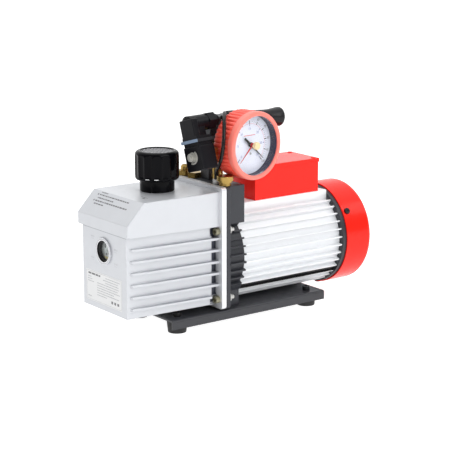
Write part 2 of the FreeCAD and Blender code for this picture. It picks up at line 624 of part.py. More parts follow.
def power_module():
    """The mains inlet socket and the switch's frame, moulded as one plate in the box's far side."""
    y0, y1 = TBOX_HALF, TBOX_HALF + 2.4
    x, z = MODULE_X, MODULE_Z
    plate = box(x - 24, x + 24, y0, y1, z - 14, z + 14)
    body = box(x - 21.8, x + 21.8, y0 - 20, y0 + 0.5, z - 12.2, z + 12.2)
    module = plate.fuse(body)
    module = module.cut(box(x - 20, x + 4, y0 - 14, y1 + 1, z - 8, z + 8))
    module = module.cut(box(x + 8, x + 20, y0 - 14, y1 + 1, z - 9.6, z + 9.6))
    pins = [box(x - 9 + dx, x - 7 + dx, y0 - 15, y0 - 2, z + dz - 2, z + dz + 2)
            for dx, dz in ((-7, -3), (7, -3), (0, 3))]
    return [fused([module] + pins)]


def switch_rocker():
    """The rocker turns on an axis along X; its two faces meet in a shallow valley."""
    y, z, x = TBOX_HALF - 1.0, MODULE_Z, MODULE_X + 14
    drum = cyl("x", x - 5.7, x + 5.7, 9.3, (y, z))
    drum = drum.cut(box(x - 7, x + 7, y - 12, y - 5.5, z - 12, z + 12))
    wedge = prism([(x - 7, y + 3.2, z), (x - 7, y + 4.8, z + 10), (x - 7, y + 14, z + 10),
                   (x - 7, y + 14, z - 10), (x - 7, y + 4.8, z - 10)], (14, 0, 0))
    return [drum.cut(wedge)]


# --- intake ports -------------------------------------------------------------------------------
def intake_ports():
    """Brass ports in the bracket's top: a nipple for the cap, a plugged port and a bare flare."""
    z = FLANGE_TOP
    nipple = cyl("z", z, z + CAP_RISE + 5.4, 7.0, CAP_PORT).fuse(cyl("z", z, z + 2.2, 8.0, CAP_PORT))
    plug = hexagon("z", z, z + 7.0, 17, PLUG_PORT)
    flare = fused([hexagon("z", z, z + FLARE_SEAT, 17, FLARE_PORT),
                   cyl("z", z + FLARE_SEAT - 1, z + FLARE_SEAT + FLARE_LENGTH, FLARE_R, FLARE_PORT),
                   Part.makeCone(5.2, 3.2, 2.5, V(*FLARE_PORT, z + FLARE_SEAT + FLARE_LENGTH))])
    return [nipple, plug, flare.cut(cyl("z", z - 1, z + 20, 2.4, FLARE_PORT))]


def intake_cap():
    """A brass dust cap over the nipple: a skirt, and a wider turned disc on top."""
    z = FLANGE_TOP + CAP_RISE
    cap = cyl("z", z, z + 2.2, 9.0, CAP_PORT).fuse(cyl("z", z + 2.2, z + 8.4, 11.0, CAP_PORT))
    cap = cap.makeFillet(0.8, [e for e in cap.Edges if e.Closed and e.CenterOfMass.z > z + 2.3])
    return [cap.cut(cyl("z", z - 1, z + 5.5, 7.0 + RUNNING, CAP_PORT))]


# --- handle -------------------------------------------------------------------------------------
HANDLE_START, HANDLE_END = (197.0, 263.2), (286.0, 255.9)


def handle_arm():
    """The post rises from the bracket and bends back into the bar that carries the grip."""
    start, way = grip_line()
    top, low = (start + V(-way.z, 0, way.x) * 4.8), (start - V(-way.z, 0, way.x) * 4.8)
    side = [(161, FLANGE_TOP), (161, 238), (164.5, 252), (172, 261), (182, 266.5),
            (top.x, top.z), (low.x, low.z), (187, 257), (180, 251), (177, 241),
            (177, FLANGE_TOP)]
    post = prism([(x, -HANDLE_HALF, z) for x, z in side], (0, 2 * HANDLE_HALF, 0))
    bar = Part.makeCylinder(5.0, 85, start - way * 6, way)
    return [post.fuse(bar)]


def grip_line():
    start = V(HANDLE_START[0], 0, HANDLE_START[1])
    way = (V(HANDLE_END[0], 0, HANDLE_END[1]) - start).normalize()
    return start, way


def handle_grip():
    """The grip: a round bar that is waisted by the post and flares to a button at its end."""
    start, way = grip_line()
    length = (V(HANDLE_END[0], 0, HANDLE_END[1]) - start).Length
    profile = [(0, 8.6), (8, 9.2), (42, 9.4), (60, 9.6), (69, 10.2), (77, 11.6), (83, 12.8),
               (length - 2, 13.2), (length, 12.4)]
    outline = [V(0, 0, 0)] + [V(t, r, 0) for t, r in profile] + [V(length, 0, 0), V(0, 0, 0)]
    grip = Part.Face(Part.makePolygon(outline)).revolve(V(0, 0, 0), V(1, 0, 0), 360)
    grip = grip.cut(Part.makeCylinder(5.0, 79, V(0, 0, 0), V(1, 0, 0)))
    grip.Placement = FreeCAD.Placement(start, FreeCAD.Rotation(V(1, 0, 0), way))
    return [grip]


# --- intake valve and coil ----------------------------------------------------------------------
def valve_point(u, v):
    angle = math.radians(VALVE_YAW)
    return (VALVE_AT[0] + u * math.cos(angle) - v * math.sin(angle),
            VALVE_AT[1] + u * math.sin(angle) + v * math.cos(angle))


def lean_point(u, side, rise):
    lean = math.radians(COIL_LEAN)
    return (u, TUBE_V + side * math.cos(lean) + rise * math.sin(lean),
            TUBE_W - side * math.sin(lean) + rise * math.cos(lean))


def bushing_at():
    return valve_point(LEAD_END[0], LEAD_END[1])


def valve_body():
    """A brass body on one nipple: it takes the armature tube in front and the gauge behind."""
    low, seat, gauge_arm = TUBE_W - 9.5, COIL_U1 + 5.5, GAUGE_U + 9
    body = fused([box(COIL_U1 + 0.5, -17.5, TUBE_V - 8.5, 8, low, TUBE_W + 9.5),
                  box(COIL_U1 + 0.5, gauge_arm, -7.5, 8, low, TUBE_W + 9.5),
                  box(GAUGE_U - 9, gauge_arm, -7.5, 8, low, GAUGE_W + 8),
                  cyl("z", FLANGE_TOP + 9, low + 1, 6.9, (NIPPLE_U, NIPPLE_V)),
                  hexagon("z", FLANGE_TOP + 2, FLANGE_TOP + 10, 15, (NIPPLE_U, NIPPLE_V)),
                  cyl("z", FLANGE_TOP, FLANGE_TOP + 2, 6.0, (NIPPLE_U, NIPPLE_V))])
    body = body.cut(cyl("x", COIL_U1, seat, 6.55, (TUBE_V, TUBE_W)))
    body = body.cut(cyl("x", seat - 1, seat + 1.5, 2.2, (TUBE_V, TUBE_W)))
    body = body.cut(cyl("y", TUBE_V - 1, 2, 1.6, (seat + 1.9, TUBE_W)))
    body = body.cut(cyl("x", seat + 1.9, GAUGE_U + 1.2, 2.5, (0.4, TUBE_W)))
    body = body.cut(cyl("z", FLANGE_TOP - 1, TUBE_W + 0.5, 2.1, (NIPPLE_U, NIPPLE_V)))
    body = body.cut(cyl("z", TUBE_W + 0.6, GAUGE_W, 2.0, (GAUGE_U - 2, -1)))
    body = body.cut(cyl("y", -8, 1, 4.9, (GAUGE_U, GAUGE_W)))
    return [in_valve_frame(body)]


def armature_tube():
    seat = COIL_U1 + 5.5
    tube = fused([cyl("x", COIL_U0 - 1, seat, 6.5, (TUBE_V, TUBE_W)),
                  cyl("x", COIL_U0 - 6.5, COIL_U0, 3.2, (TUBE_V, TUBE_W))])
    return [in_valve_frame(tube.cut(cyl("x", COIL_U0 + 10, seat + 1, 5.2, (TUBE_V, TUBE_W))))]


def plunger():
    """The steel plunger slides in the tube; here it is down on the seat."""
    back, seat = COIL_U0 + 13.2, COIL_U1 + 5.5
    stem = cyl("x", back, seat, 5.15, (TUBE_V, TUBE_W))
    return [in_valve_frame(stem.cut(cyl("x", back - 1, back + 9, 3.4, (TUBE_V, TUBE_W))))]


def plunger_spring():
    turns, wire, radius = 6, 0.4, 2.6
    start, end = COIL_U0 + 10.0, COIL_U0 + 22.2
    pitch = (end - start - 2 * wire) / turns
    helix = Part.makeHelix(pitch, end - start - 2 * wire, radius)
    circle = Part.Wire(Part.Circle(V(radius, 0, 0), V(0, 1, 0), wire).toShape())
    spring = Part.Wire(helix).makePipeShell([circle], True, True)
    spring.rotate(V(0, 0, 0), V(0, 1, 0), 90)
    spring.translate(V(start + wire, TUBE_V, TUBE_W))
    return [in_valve_frame(Part.Solid(Part.Shell(spring.Faces)) if not spring.Solids
                           else spring.Solids[0])]


def solenoid_coil():
    """The moulded coil, with a narrower neck that carries the plug."""
    neck = 4.5
    block = box(COIL_U0, COIL_U1, TUBE_V - COIL_HALF, TUBE_V + COIL_HALF,
                TUBE_W - COIL_RISE, TUBE_W + COIL_RISE - neck)
    block = block.makeFillet(1.5, block.Edges)
    block = block.fuse(box(COIL_U0 + 1.5, COIL_U1 - 1.5, TUBE_V - COIL_HALF + 1.5,
                           TUBE_V + COIL_HALF - 1.5, TUBE_W, TUBE_W + COIL_RISE))
    block = block.cut(cyl("x", COIL_U0 - 1, COIL_U1 + 1, 6.55, (TUBE_V, TUBE_W)))
    return [in_valve_frame(leaned(block))]


def coil_nut():
    """A round nut holds the coil on its tube, with an open clip ring flat on the coil round it."""
    at = (TUBE_V, TUBE_W)
    nut = cyl("x", COIL_U0 - 5.0, COIL_U0 - 1.0, 5.2, at).cut(cyl("x", COIL_U0 - 6, COIL_U0, 3.2, at))
    ring = cyl("x", COIL_U0 - 1.0, COIL_U0, 9.3, at).cut(cyl("x", COIL_U0 - 2, COIL_U0 + 1, 7.4, at))
    gap = [(COIL_U0 - 2, TUBE_V, TUBE_W), (COIL_U0 - 2, TUBE_V - 10, TUBE_W + 20),
           (COIL_U0 - 2, TUBE_V + 24, TUBE_W + 14), (COIL_U0 - 2, TUBE_V + 24, TUBE_W - 20),
           (COIL_U0 - 2, TUBE_V + 4, TUBE_W - 20)]
    return [in_valve_frame(nut), in_valve_frame(ring.cut(prism(gap, (4, 0, 0))))]


def connector_gasket():
    pad = box(COIL_U0 - 1, COIL_U1 + 1, TUBE_V - COIL_HALF - 1, TUBE_V + COIL_HALF + 1,
              TUBE_W + COIL_RISE, TUBE_W + COIL_RISE + GASKET_T)
    return [in_valve_frame(leaned(pad))]


def connector():
    """The plug on the coil: a foot, an upright head, and a round boss that runs back for the lead."""
    foot, half, top = TUBE_W + COIL_RISE + GASKET_T, 13.8, TUBE_W + 48.5
    side, rise = TUBE_V + GLAND_SIDE, TUBE_W + GLAND_RISE
    base = box(COIL_U0 + 0.4, COIL_U1 - 0.4, TUBE_V - half, TUBE_V + half, foot, foot + 3.5)
    head = box(COIL_U0 + 0.4, COIL_U0 + 10, TUBE_V - half + 2.5, TUBE_V + half, foot + 1, top)
    head = head.makeFillet(1.5, [e for e in head.Edges if e.CenterOfMass.z > foot + 4])
    web = box(COIL_U0 + 5, COIL_U1 - 0.4, side - 8.5, side + 8.5, foot + 1, rise)
    boss = cyl("x", COIL_U0 + 5, GLAND_MOUTH - 20, 10.2, (side, rise))
    socket = cyl("x", COIL_U1 - 1, GLAND_MOUTH - 19, 5.0, (side, rise))
    return [in_valve_frame(leaned(fused([base, head, web, boss]).cut(socket)))]


def gland_nut():
    """The nut is screwed on the boss and grips the lead, which ends face to face with it."""
    at = (TUBE_V + GLAND_SIDE, TUBE_W + GLAND_RISE)
    nut = fused([hexagon("x", GLAND_MOUTH - 20, GLAND_MOUTH - 7, 21.0, at),
                 cyl("x", GLAND_MOUTH - 8, GLAND_MOUTH, 8.6, at),
                 cyl("x", COIL_U1 - 0.9, GLAND_MOUTH - 19.5, 5.0, at)])
    nut = nut.makeFillet(1.5, [e for e in nut.Edges if e.Closed
                               and e.CenterOfMass.x > GLAND_MOUTH - 0.1])
    return [in_valve_frame(leaned(nut.cut(cyl("x", COIL_U1 - 1, GLAND_MOUTH - 4, LEAD_R, at))))]


# The coil's lead, from the gland's mouth round the gauge's boot to the bushing in the bracket.
LEAD_START = lean_point(GLAND_MOUTH, GLAND_SIDE, GLAND_RISE)
LEAD_END = (-6.8, -9.2, FLANGE_TOP + 6)
LEAD_ROUTE = [LEAD_START, (LEAD_START[0] + 6, LEAD_START[1], LEAD_START[2]),
              (11.5, -4.2, 271.0), (5.5, -12.5, 277.5), (-4.0, -21.5, 274.5), (-14.0, -32.0, 260.0),
              (-20.0, -37.0, 242.5), (-20.5, -34.5, 225.0), (-15.0, -23.0, 210.0),
              (-9.0, -13.5, 204.0), (LEAD_END[0], LEAD_END[1], 197.2), LEAD_END]


def tangent_path(points):
    """Straight runs joined by arcs; each arc is as large as the shorter of its two runs allows."""
    points = [V(*p) for p in points]
    edges, at = [], points[0]
    for before, corner, after in zip(points, points[1:], points[2:]):
        back, ahead = (before - corner), (after - corner)
        reach = 0.45 * min(back.Length, ahead.Length)
        back, ahead = back.normalize(), ahead.normalize()
        turn = math.pi - back.getAngle(ahead)
        radius = reach / math.tan(turn / 2)
        print("lead turn %.0f degrees, radius %.1f" % (math.degrees(turn), radius))
        first, last = corner + back * reach, corner + ahead * reach
        middle = (back + ahead).normalize()
        mid = corner + middle * (radius / math.cos(turn / 2) - radius)
        edges += [Part.LineSegment(at, first).toShape(), Part.Arc(first, mid, last).toShape()]
        at = last
    edges.append(Part.LineSegment(at, points[-1]).toShape())
    return Part.Wire(edges)


def solenoid_lead():
    path = tangent_path(LEAD_ROUTE)
    start, second = V(*LEAD_ROUTE[0]), V(*LEAD_ROUTE[1])
    ring = Part.Wire(Part.Circle(start, second - start, LEAD_R).toShape())
    tube = path.makePipeShell([ring], True, True)
    wanted = math.pi * LEAD_R ** 2 * path.Length
    print("lead length %.1f, volume %.0f of %.0f" % (path.Length, tube.Volume, wanted))
    return [in_valve_frame(tube)]


def lead_bushing():
    x, y = bushing_at()
    bush = cyl("z", FLANGE_TOP, FLANGE_TOP + 6, 4.2, (x, y)).fuse(
        cyl("z", FLANGE_TOP - 6, FLANGE_TOP, 3.0, (x, y)))
    return [bush]


# --- gauge --------------------------------------------------------------------------------------
def gauge_boot():
    """A soft ring over the gauge: scalloped round its rim, with a rolled lip in front."""
    at = (GAUGE_U, GAUGE_W)
    boot = cyl("y", GAUGE_V0, GAUGE_V1, GAUGE_R, at)
    boot = boot.makeFillet(2.5, [e for e in boot.Edges if e.Closed])
    scallops = 44
    for k in range(scallops):
        angle = 2 * math.pi * k / scallops
        where = (GAUGE_U + (GAUGE_R + 1.7) * math.cos(angle),
                 GAUGE_W + (GAUGE_R + 1.7) * math.sin(angle))
        boot = boot.cut(cyl("y", GAUGE_V0 + 13, GAUGE_V1 + 1, 2.9, where))
    boot = boot.cut(cyl("y", GAUGE_V0 - 1, GAUGE_V0 + 3, GAUGE_OPENING, at))
    boot = boot.cut(cyl("y", GAUGE_V0 + 2.9, GAUGE_V1 - 3, 40.5, at))
    return [in_valve_frame(boot.cut(cyl("y", GAUGE_V1 - 4, GAUGE_V1 + 1, 30.0, at)))]


def gauge_case():
    """The steel case with its threaded stem at the back."""
    at = (GAUGE_U, GAUGE_W)
    case = cyl("y", GAUGE_V0 + 3.0, GAUGE_V1 - 3.0, 40.5, at)
    case = case.cut(cyl("y", GAUGE_V0 + 2, GAUGE_V1 - 4.2, 39.0, at))
    lug = cyl("y", GAUGE_V1 - 5, GAUGE_V1 - 0.2, 9.0, at)
    stem = cyl("y", GAUGE_V1 - 1, -2.0, 4.9, at)
    post = cyl("y", GAUGE_V0 + 16, GAUGE_V1 - 4.5, 8.0, at)
    case = fused([case, lug, stem, post])
    return [in_valve_frame(case.cut(cyl("y", GAUGE_V0 + 8, GAUGE_V1 - 10, 1.0 + RUNNING, at)))]


def gauge_glass():
    at = (GAUGE_U, GAUGE_W)
    glass = cyl("y", GAUGE_V0 + 4.0, GAUGE_V0 + 6.2, 39.0, at)
    return [in_valve_frame(glass.cut(cyl("y", GAUGE_V0 + 3, GAUGE_V0 + 7, 1.5 + RUNNING, at)))]


def gauge_dial():
    dial = cyl("y", GAUGE_V0 + 14.6, GAUGE_V0 + 15.8, 38.6, (GAUGE_U, GAUGE_W))
    return [in_valve_frame(dial.cut(cyl("y", GAUGE_V0 + 14, GAUGE_V0 + 17, 2.0,
                                        (GAUGE_U, GAUGE_W))))]


def hand(level, tip, tail, width, angle, hub):
    """A thin tapered hand; angle is counted from the dial's right, towards its top."""
    u, w = GAUGE_U, GAUGE_W
    outline = [(u + tip, w), (u, w + width), (u - tail, w + width * 0.9),
               (u - tail, w - width * 0.9), (u, w - width)]
    blade = prism([(a, level, b) for a, b in outline], (0, 0.8, 0))
    blade.rotate(V(u, 0, w), V(0, 1, 0), -angle)
    return blade.fuse(cyl("y", level - 0.2, level + 1.0, hub, (u, w)))


BLACK_ANGLE, RED_ANGLE = -41.0, -136.0


def gauge_pointer():
    level = GAUGE_V0 + 11.5
    pointer = hand(level, 31.0, 14.5, 1.5, BLACK_ANGLE, 3.4)
    return [in_valve_frame(pointer.fuse(cyl("y", level, GAUGE_V0 + 18, 1.0, (GAUGE_U, GAUGE_W))))]


def set_pointer():
    """The red hand that marks a wanted vacuum, and the knob that turns it through the glass."""
    level, at = GAUGE_V0 + 8.6, (GAUGE_U, GAUGE_W)
    pointer = hand(level, 31.0, 0.5, 1.1, RED_ANGLE, 3.0)
    knob = cyl("y", GAUGE_V0 - 0.8, GAUGE_V0 + 3.8, 5.0, at)
    knob = knob.makeFillet(0.8, [e for e in knob.Edges if e.Closed
                                 and e.CenterOfMass.y < GAUGE_V0])
    stud = cyl("y", GAUGE_V0 + 3.8, level - 0.2, 1.5, at)
    return [in_valve_frame(pointer), in_valve_frame(knob.fuse(stud))]


NODES = [base_plate, rubber_feet, base_bolts, oil_casing, casing_gasket, casing_bolts, sight_bezel,
         sight_glass, oil_neck, oil_cap, drain_plug, motor_bracket, shaft_seal, first_stage,
         second_stage, centre_plate, exhaust_valves, long_screws, first_rotor, second_rotor, vanes,
         vane_springs, motor_housing, stator_core, stator_windings, motor_shaft, rotor_core,
         bearing_outer_rings, bearing_inner_rings, bearing_balls, rear_shield, cooling_fan,
         fan_cover, cover_screws, terminal_box, terminal_lid, run_capacitor, power_module,
         switch_rocker, intake_ports, intake_cap, handle_arm, handle_grip, valve_body,
         armature_tube, plunger, plunger_spring, solenoid_coil, coil_nut, connector_gasket,
         connector, gland_nut, solenoid_lead, lead_bushing, gauge_boot, gauge_case, gauge_glass,
         gauge_dial, gauge_pointer, set_pointer]

os.makedirs("parts", exist_ok=True)
for make in NODES:
    save(make.__name__, make())
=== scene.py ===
import json
import math
import random

import bpy
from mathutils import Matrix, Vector


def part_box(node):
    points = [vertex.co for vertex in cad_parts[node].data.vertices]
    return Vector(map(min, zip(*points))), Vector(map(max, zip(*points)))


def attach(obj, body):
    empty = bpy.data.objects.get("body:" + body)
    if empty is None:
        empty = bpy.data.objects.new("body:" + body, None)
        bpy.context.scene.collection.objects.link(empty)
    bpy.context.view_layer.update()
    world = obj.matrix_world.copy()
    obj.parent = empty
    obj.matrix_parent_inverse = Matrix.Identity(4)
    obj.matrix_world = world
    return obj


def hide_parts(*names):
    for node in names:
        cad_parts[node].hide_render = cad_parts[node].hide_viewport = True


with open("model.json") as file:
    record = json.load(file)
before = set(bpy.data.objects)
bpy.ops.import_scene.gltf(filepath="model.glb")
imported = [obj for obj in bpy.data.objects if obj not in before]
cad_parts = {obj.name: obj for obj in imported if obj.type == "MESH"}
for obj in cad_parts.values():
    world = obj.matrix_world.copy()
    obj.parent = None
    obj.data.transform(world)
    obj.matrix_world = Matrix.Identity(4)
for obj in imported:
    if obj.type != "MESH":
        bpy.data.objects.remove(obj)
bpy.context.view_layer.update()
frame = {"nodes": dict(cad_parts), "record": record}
NODES = frame["nodes"]
random.seed(7)

# --- places, all from the CAD -----------------------------------------------------------------
MM = 0.001
X, Y, Z = Vector((1, 0, 0)), Vector((0, 1, 0)), Vector((0, 0, 1))
YAW = math.radians(7.5)                           # the gauge and coil turn by this about Z
GAUGE_RIGHT = Vector((math.cos(YAW), math.sin(YAW), 0))
GAUGE_BACK = Vector((-math.sin(YAW), math.cos(YAW), 0))


def middle(node):
    low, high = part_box(node)
    return (low + high) / 2


CASING_LOW, CASING_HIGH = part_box("oil_casing")
CAP_LOW, CAP_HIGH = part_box("oil_cap")
AXIS = middle("motor_shaft")                      # a point on the shaft
SIGHT = middle("sight_glass")
BOOT = middle("gauge_boot")
DIAL = middle("gauge_dial")
FRONT_WALL = CASING_LOW.x + 2.8 * MM              # the casing's front wall, under its hood
HOOD_TOP, HOOD_CHAMFER_Z, HOOD_CHAMFER_X = 0.1789, 0.1521, 0.0254
HOOD_HALF, SLOPE_LENGTH = 58.2, 36.9              # mm: half its width, and its slope's length


# --- small tools ------------------------------------------------------------------------------
def mesh_piece(name, verts, faces, smooth=True):
    mesh = bpy.data.meshes.new(name)
    mesh.from_pydata([tuple(v) for v in verts], [], faces)
    mesh.update()
    piece = bpy.data.objects.new(name, mesh)
    bpy.context.scene.collection.objects.link(piece)
    for polygon in mesh.polygons:
        polygon.use_smooth = smooth
    return piece


def box_mesh(centre, size, axes):
    """Corners and faces of a box with the given centre, size and three axis vectors."""
    verts = [centre + axes[0] * (size[0] / 2 * a) + axes[1] * (size[1] / 2 * b)
             + axes[2] * (size[2] / 2 * c) for a in (-1, 1) for b in (-1, 1) for c in (-1, 1)]
    faces = [(0, 1, 3, 2), (4, 6, 7, 5), (0, 4, 5, 1), (2, 3, 7, 6), (0, 2, 6, 4), (1, 5, 7, 3)]
    return verts, faces


def join_boxes(name, boxes):
    verts, faces = [], []
    for centre, size, axes in boxes:
        v, f = box_mesh(centre, size, axes)
        faces += [tuple(i + len(verts) for i in face) for face in f]
        verts += v
    return mesh_piece(name, verts, faces, smooth=False)


def lathe(name, profile, origin, axis, up, steps=96, radius_of=None):
    """Turns a closed profile of (along, radius) points about an axis through origin."""
    axis, up = axis.normalized(), up.normalized()
    side = up.cross(axis).normalized()
    verts, faces = [], []
    count = len(profile)
    for i in range(steps):
        angle = 2 * math.pi * i / steps
        ray = up * math.cos(angle) + side * math.sin(angle)
        for j, (along, radius) in enumerate(profile):
            r = radius_of(j, angle, radius) if radius_of else radius
            verts.append(origin + axis * along + ray * r)
    for i in range(steps):
        k = (i + 1) % steps
        for j in range(count):
            m = (j + 1) % count
            faces.append((i * count + j, k * count + j, k * count + m, i * count + m))
    return mesh_piece(name, verts, faces)


def dress(piece, body, slot, mat=None, replaces=()):
    """Gives a piece its body, its material slot and its finish."""
    piece.data.materials.append(mat or MATS[slot])
    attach(piece, body)
    if replaces:
        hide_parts(*replaces)
    return piece


def flat_bar(origin, right, up, centre, size, lift=0.06):
    """A box for join_boxes: a thin printed bar on the plane through origin."""
    out = right.cross(up)
    place = origin + right * (centre[0] * MM) + up * (centre[1] * MM) + out * (lift / 2 * MM)
    return place, (size[0] * MM, size[1] * MM, lift * MM), (right, up, out)


def print_line(origin, right, up, start, end, level, height):
    """A line of print, as a row of plain bars of uneven length from start to end."""
    bars, at = [], start
    while at < end - 1:
        width = min(random.uniform(0.8, 3.6) * height, end - at)
        bars.append(flat_bar(origin, right, up, (at + width / 2, level), (width, height)))
        at += width + 0.6 * height
    return bars


def numerals(name, entries, origin, right, up, lift=0.08):
    """Plain figures on the plane through origin: each entry is text, size and centre in mm."""
    verts, faces = [], []
    out = right.cross(up)
    for body, size, (across, level) in entries:
        curve = bpy.data.curves.new("figure", "FONT")
        curve.body = body
        curve.size = size
        curve.align_x = "CENTER"
        curve.align_y = "CENTER"
        holder = bpy.data.objects.new("figure", curve)
        mesh = bpy.data.meshes.new_from_object(holder)
        first = len(verts)
        verts += [origin + right * ((v.co.x + across) * MM) + up * ((v.co.y + level) * MM)
                  + out * (lift * MM) for v in mesh.vertices]
        faces += [tuple(first + i for i in polygon.vertices) for polygon in mesh.polygons]
        bpy.data.objects.remove(holder)
        bpy.data.meshes.remove(mesh)
        bpy.data.curves.remove(curve)
    return mesh_piece(name, verts, faces, smooth=False)


# --- materials --------------------------------------------------------------------------------
ROUGH_VARY = 0.15                                 # how unevenly a finish shines


def new_material(name):
    mat = bpy.data.materials.new(name)
    mat.use_nodes = True
    tree = mat.node_tree
    shader = tree.nodes["Principled BSDF"]
    return mat, tree, shader


def link(tree, source, target):
    tree.links.new(source, target)


def noise(tree, scale, detail=4.0):
    coords = tree.nodes.new("ShaderNodeTexCoord")
    node = tree.nodes.new("ShaderNodeTexNoise")
    node.inputs["Scale"].default_value = scale
    node.inputs["Detail"].default_value = detail
    node.inputs["Roughness"].default_value = 0.55
    link(tree, coords.outputs["Object"], node.inputs["Vector"])
    return node.outputs["Fac"]


def spread(tree, value, low, high):
    """Stretches the middle of a noise's range to run from low to high."""
    node = tree.nodes.new("ShaderNodeMapRange")
    node.inputs["From Min"].default_value = 0.3
    node.inputs["From Max"].default_value = 0.7
    node.inputs["To Min"].default_value = low
    node.inputs["To Max"].default_value = high
    link(tree, value, node.inputs["Value"])
    return node.outputs["Result"]


def mix_color(tree, factor, a, b):
    """Color a where the factor is 0, and b where it is 1; each is a tuple or a socket."""
    node = tree.nodes.new("ShaderNodeMix")
    node.data_type = "RGBA"
    link(tree, factor, node.inputs["Factor"])
    for value, socket in ((a, node.inputs[6]), (b, node.inputs[7])):
        if isinstance(value, tuple):
            socket.default_value = (*value, 1)
        else:
            link(tree, value, socket)
    return node.outputs[2]


def surface(name, color, rough, metallic=0.0, grain=0.0, grain_scale=900.0, vary=0.06,
            coat=0.0, edge=0.5, specular=0.5):
    """A procedural finish: cloudy tint, uneven gloss, fine grain and edges softened by edge mm."""
    mat, tree, shader = new_material(name)
    cloud = noise(tree, 35.0)
    dark = tuple(c * (1 - vary) for c in color)
    light = tuple(min(1.0, c * (1 + vary)) for c in color)
    tint = mix_color(tree, spread(tree, cloud, 0.0, 1.0), dark, light)
    link(tree, tint, shader.inputs["Base Color"])
    shader.inputs["Metallic"].default_value = metallic
    shader.inputs["Coat Weight"].default_value = coat
    shader.inputs["Coat Roughness"].default_value = 0.06
    shader.inputs["Specular IOR Level"].default_value = specular
    smudge = noise(tree, 120.0, 6.0)
    link(tree, spread(tree, smudge, rough * (1 - ROUGH_VARY), rough * (1 + ROUGH_VARY)),
         shader.inputs["Roughness"])
    normal = None
    if edge:
        bevel = tree.nodes.new("ShaderNodeBevel")
        bevel.samples = 4
        bevel.inputs["Radius"].default_value = edge * MM
        normal = bevel.outputs["Normal"]
    if grain:
        bump = tree.nodes.new("ShaderNodeBump")
        bump.inputs["Strength"].default_value = grain
        bump.inputs["Distance"].default_value = 0.0002
        link(tree, noise(tree, grain_scale, 5.0), bump.inputs["Height"])
        if normal is not None:
            link(tree, normal, bump.inputs["Normal"])
        normal = bump.outputs["Normal"]
    if normal is not None:
        link(tree, normal, shader.inputs["Normal"])
        if coat:
            link(tree, normal, shader.inputs["Coat Normal"])
    return mat


def position(tree):
    """The X, Y and Z of the point being shaded, as three sockets."""
    coords = tree.nodes.new("ShaderNodeTexCoord")
    split = tree.nodes.new("ShaderNodeSeparateXYZ")
    link(tree, coords.outputs["Object"], split.inputs[0])
    return split.outputs


def maths(tree, operation, a, b=None):
    """One Math node; a and b are numbers or sockets."""
    node = tree.nodes.new("ShaderNodeMath")
    node.operation = operation
    for value, socket in ((a, node.inputs[0]), (b, node.inputs[1])):
        if value is None:
            continue
        if isinstance(value, (int, float)):
            socket.default_value = value
        else:
            link(tree, value, socket)
    return node.outputs[0]


def between(tree, value, low, high):
    """1 where the value lies between low and high, and 0 elsewhere."""
    return maths(tree, "MULTIPLY", maths(tree, "GREATER_THAN", value, low),
                 maths(tree, "LESS_THAN", value, high))


def repaint(mat, mask_of, color, rough=None, metallic=None):
    """Where the mask is 1, the finish takes another color, and roughness and metal if given."""
    tree = mat.node_tree
    shader = tree.nodes["Principled BSDF"]
    mask = mask_of(tree)
    before = shader.inputs["Base Color"].links[0].from_socket
    link(tree, mix_color(tree, mask, before, color), shader.inputs["Base Color"])
    for name, value in (("Roughness", rough), ("Metallic", metallic)):
        if value is None:
            continue
        socket = shader.inputs[name]
        node = tree.nodes.new("ShaderNodeMix")
        link(tree, mask, node.inputs["Factor"])
        if socket.links:
            link(tree, socket.links[0].from_socket, node.inputs[2])
        else:
            node.inputs[2].default_value = socket.default_value
        node.inputs[3].default_value = value
        link(tree, node.outputs[0], socket)
    return mat


def clear_glass(name):
    """Thin clear cover: mostly see-through, with a faint reflection."""
    mat, tree, shader = new_material(name)
    shader.inputs["Roughness"].default_value = 0.02
    shader.inputs["Base Color"].default_value = (1, 1, 1, 1)
    see = tree.nodes.new("ShaderNodeBsdfTransparent")
    see.inputs["Color"].default_value = (1, 1, 1, 1)
    fresnel = tree.nodes.new("ShaderNodeFresnel")
    fresnel.inputs["IOR"].default_value = 1.12
    smear = spread(tree, noise(tree, 60.0), 0.0, 0.02)
    amount = maths(tree, "ADD", fresnel.outputs[0], smear)
    mix = tree.nodes.new("ShaderNodeMixShader")
    link(tree, amount, mix.inputs[0])
    link(tree, see.outputs[0], mix.inputs[1])
    link(tree, shader.outputs[0], mix.inputs[2])
    link(tree, mix.outputs[0], tree.nodes["Material Output"].inputs["Surface"])
    return mat


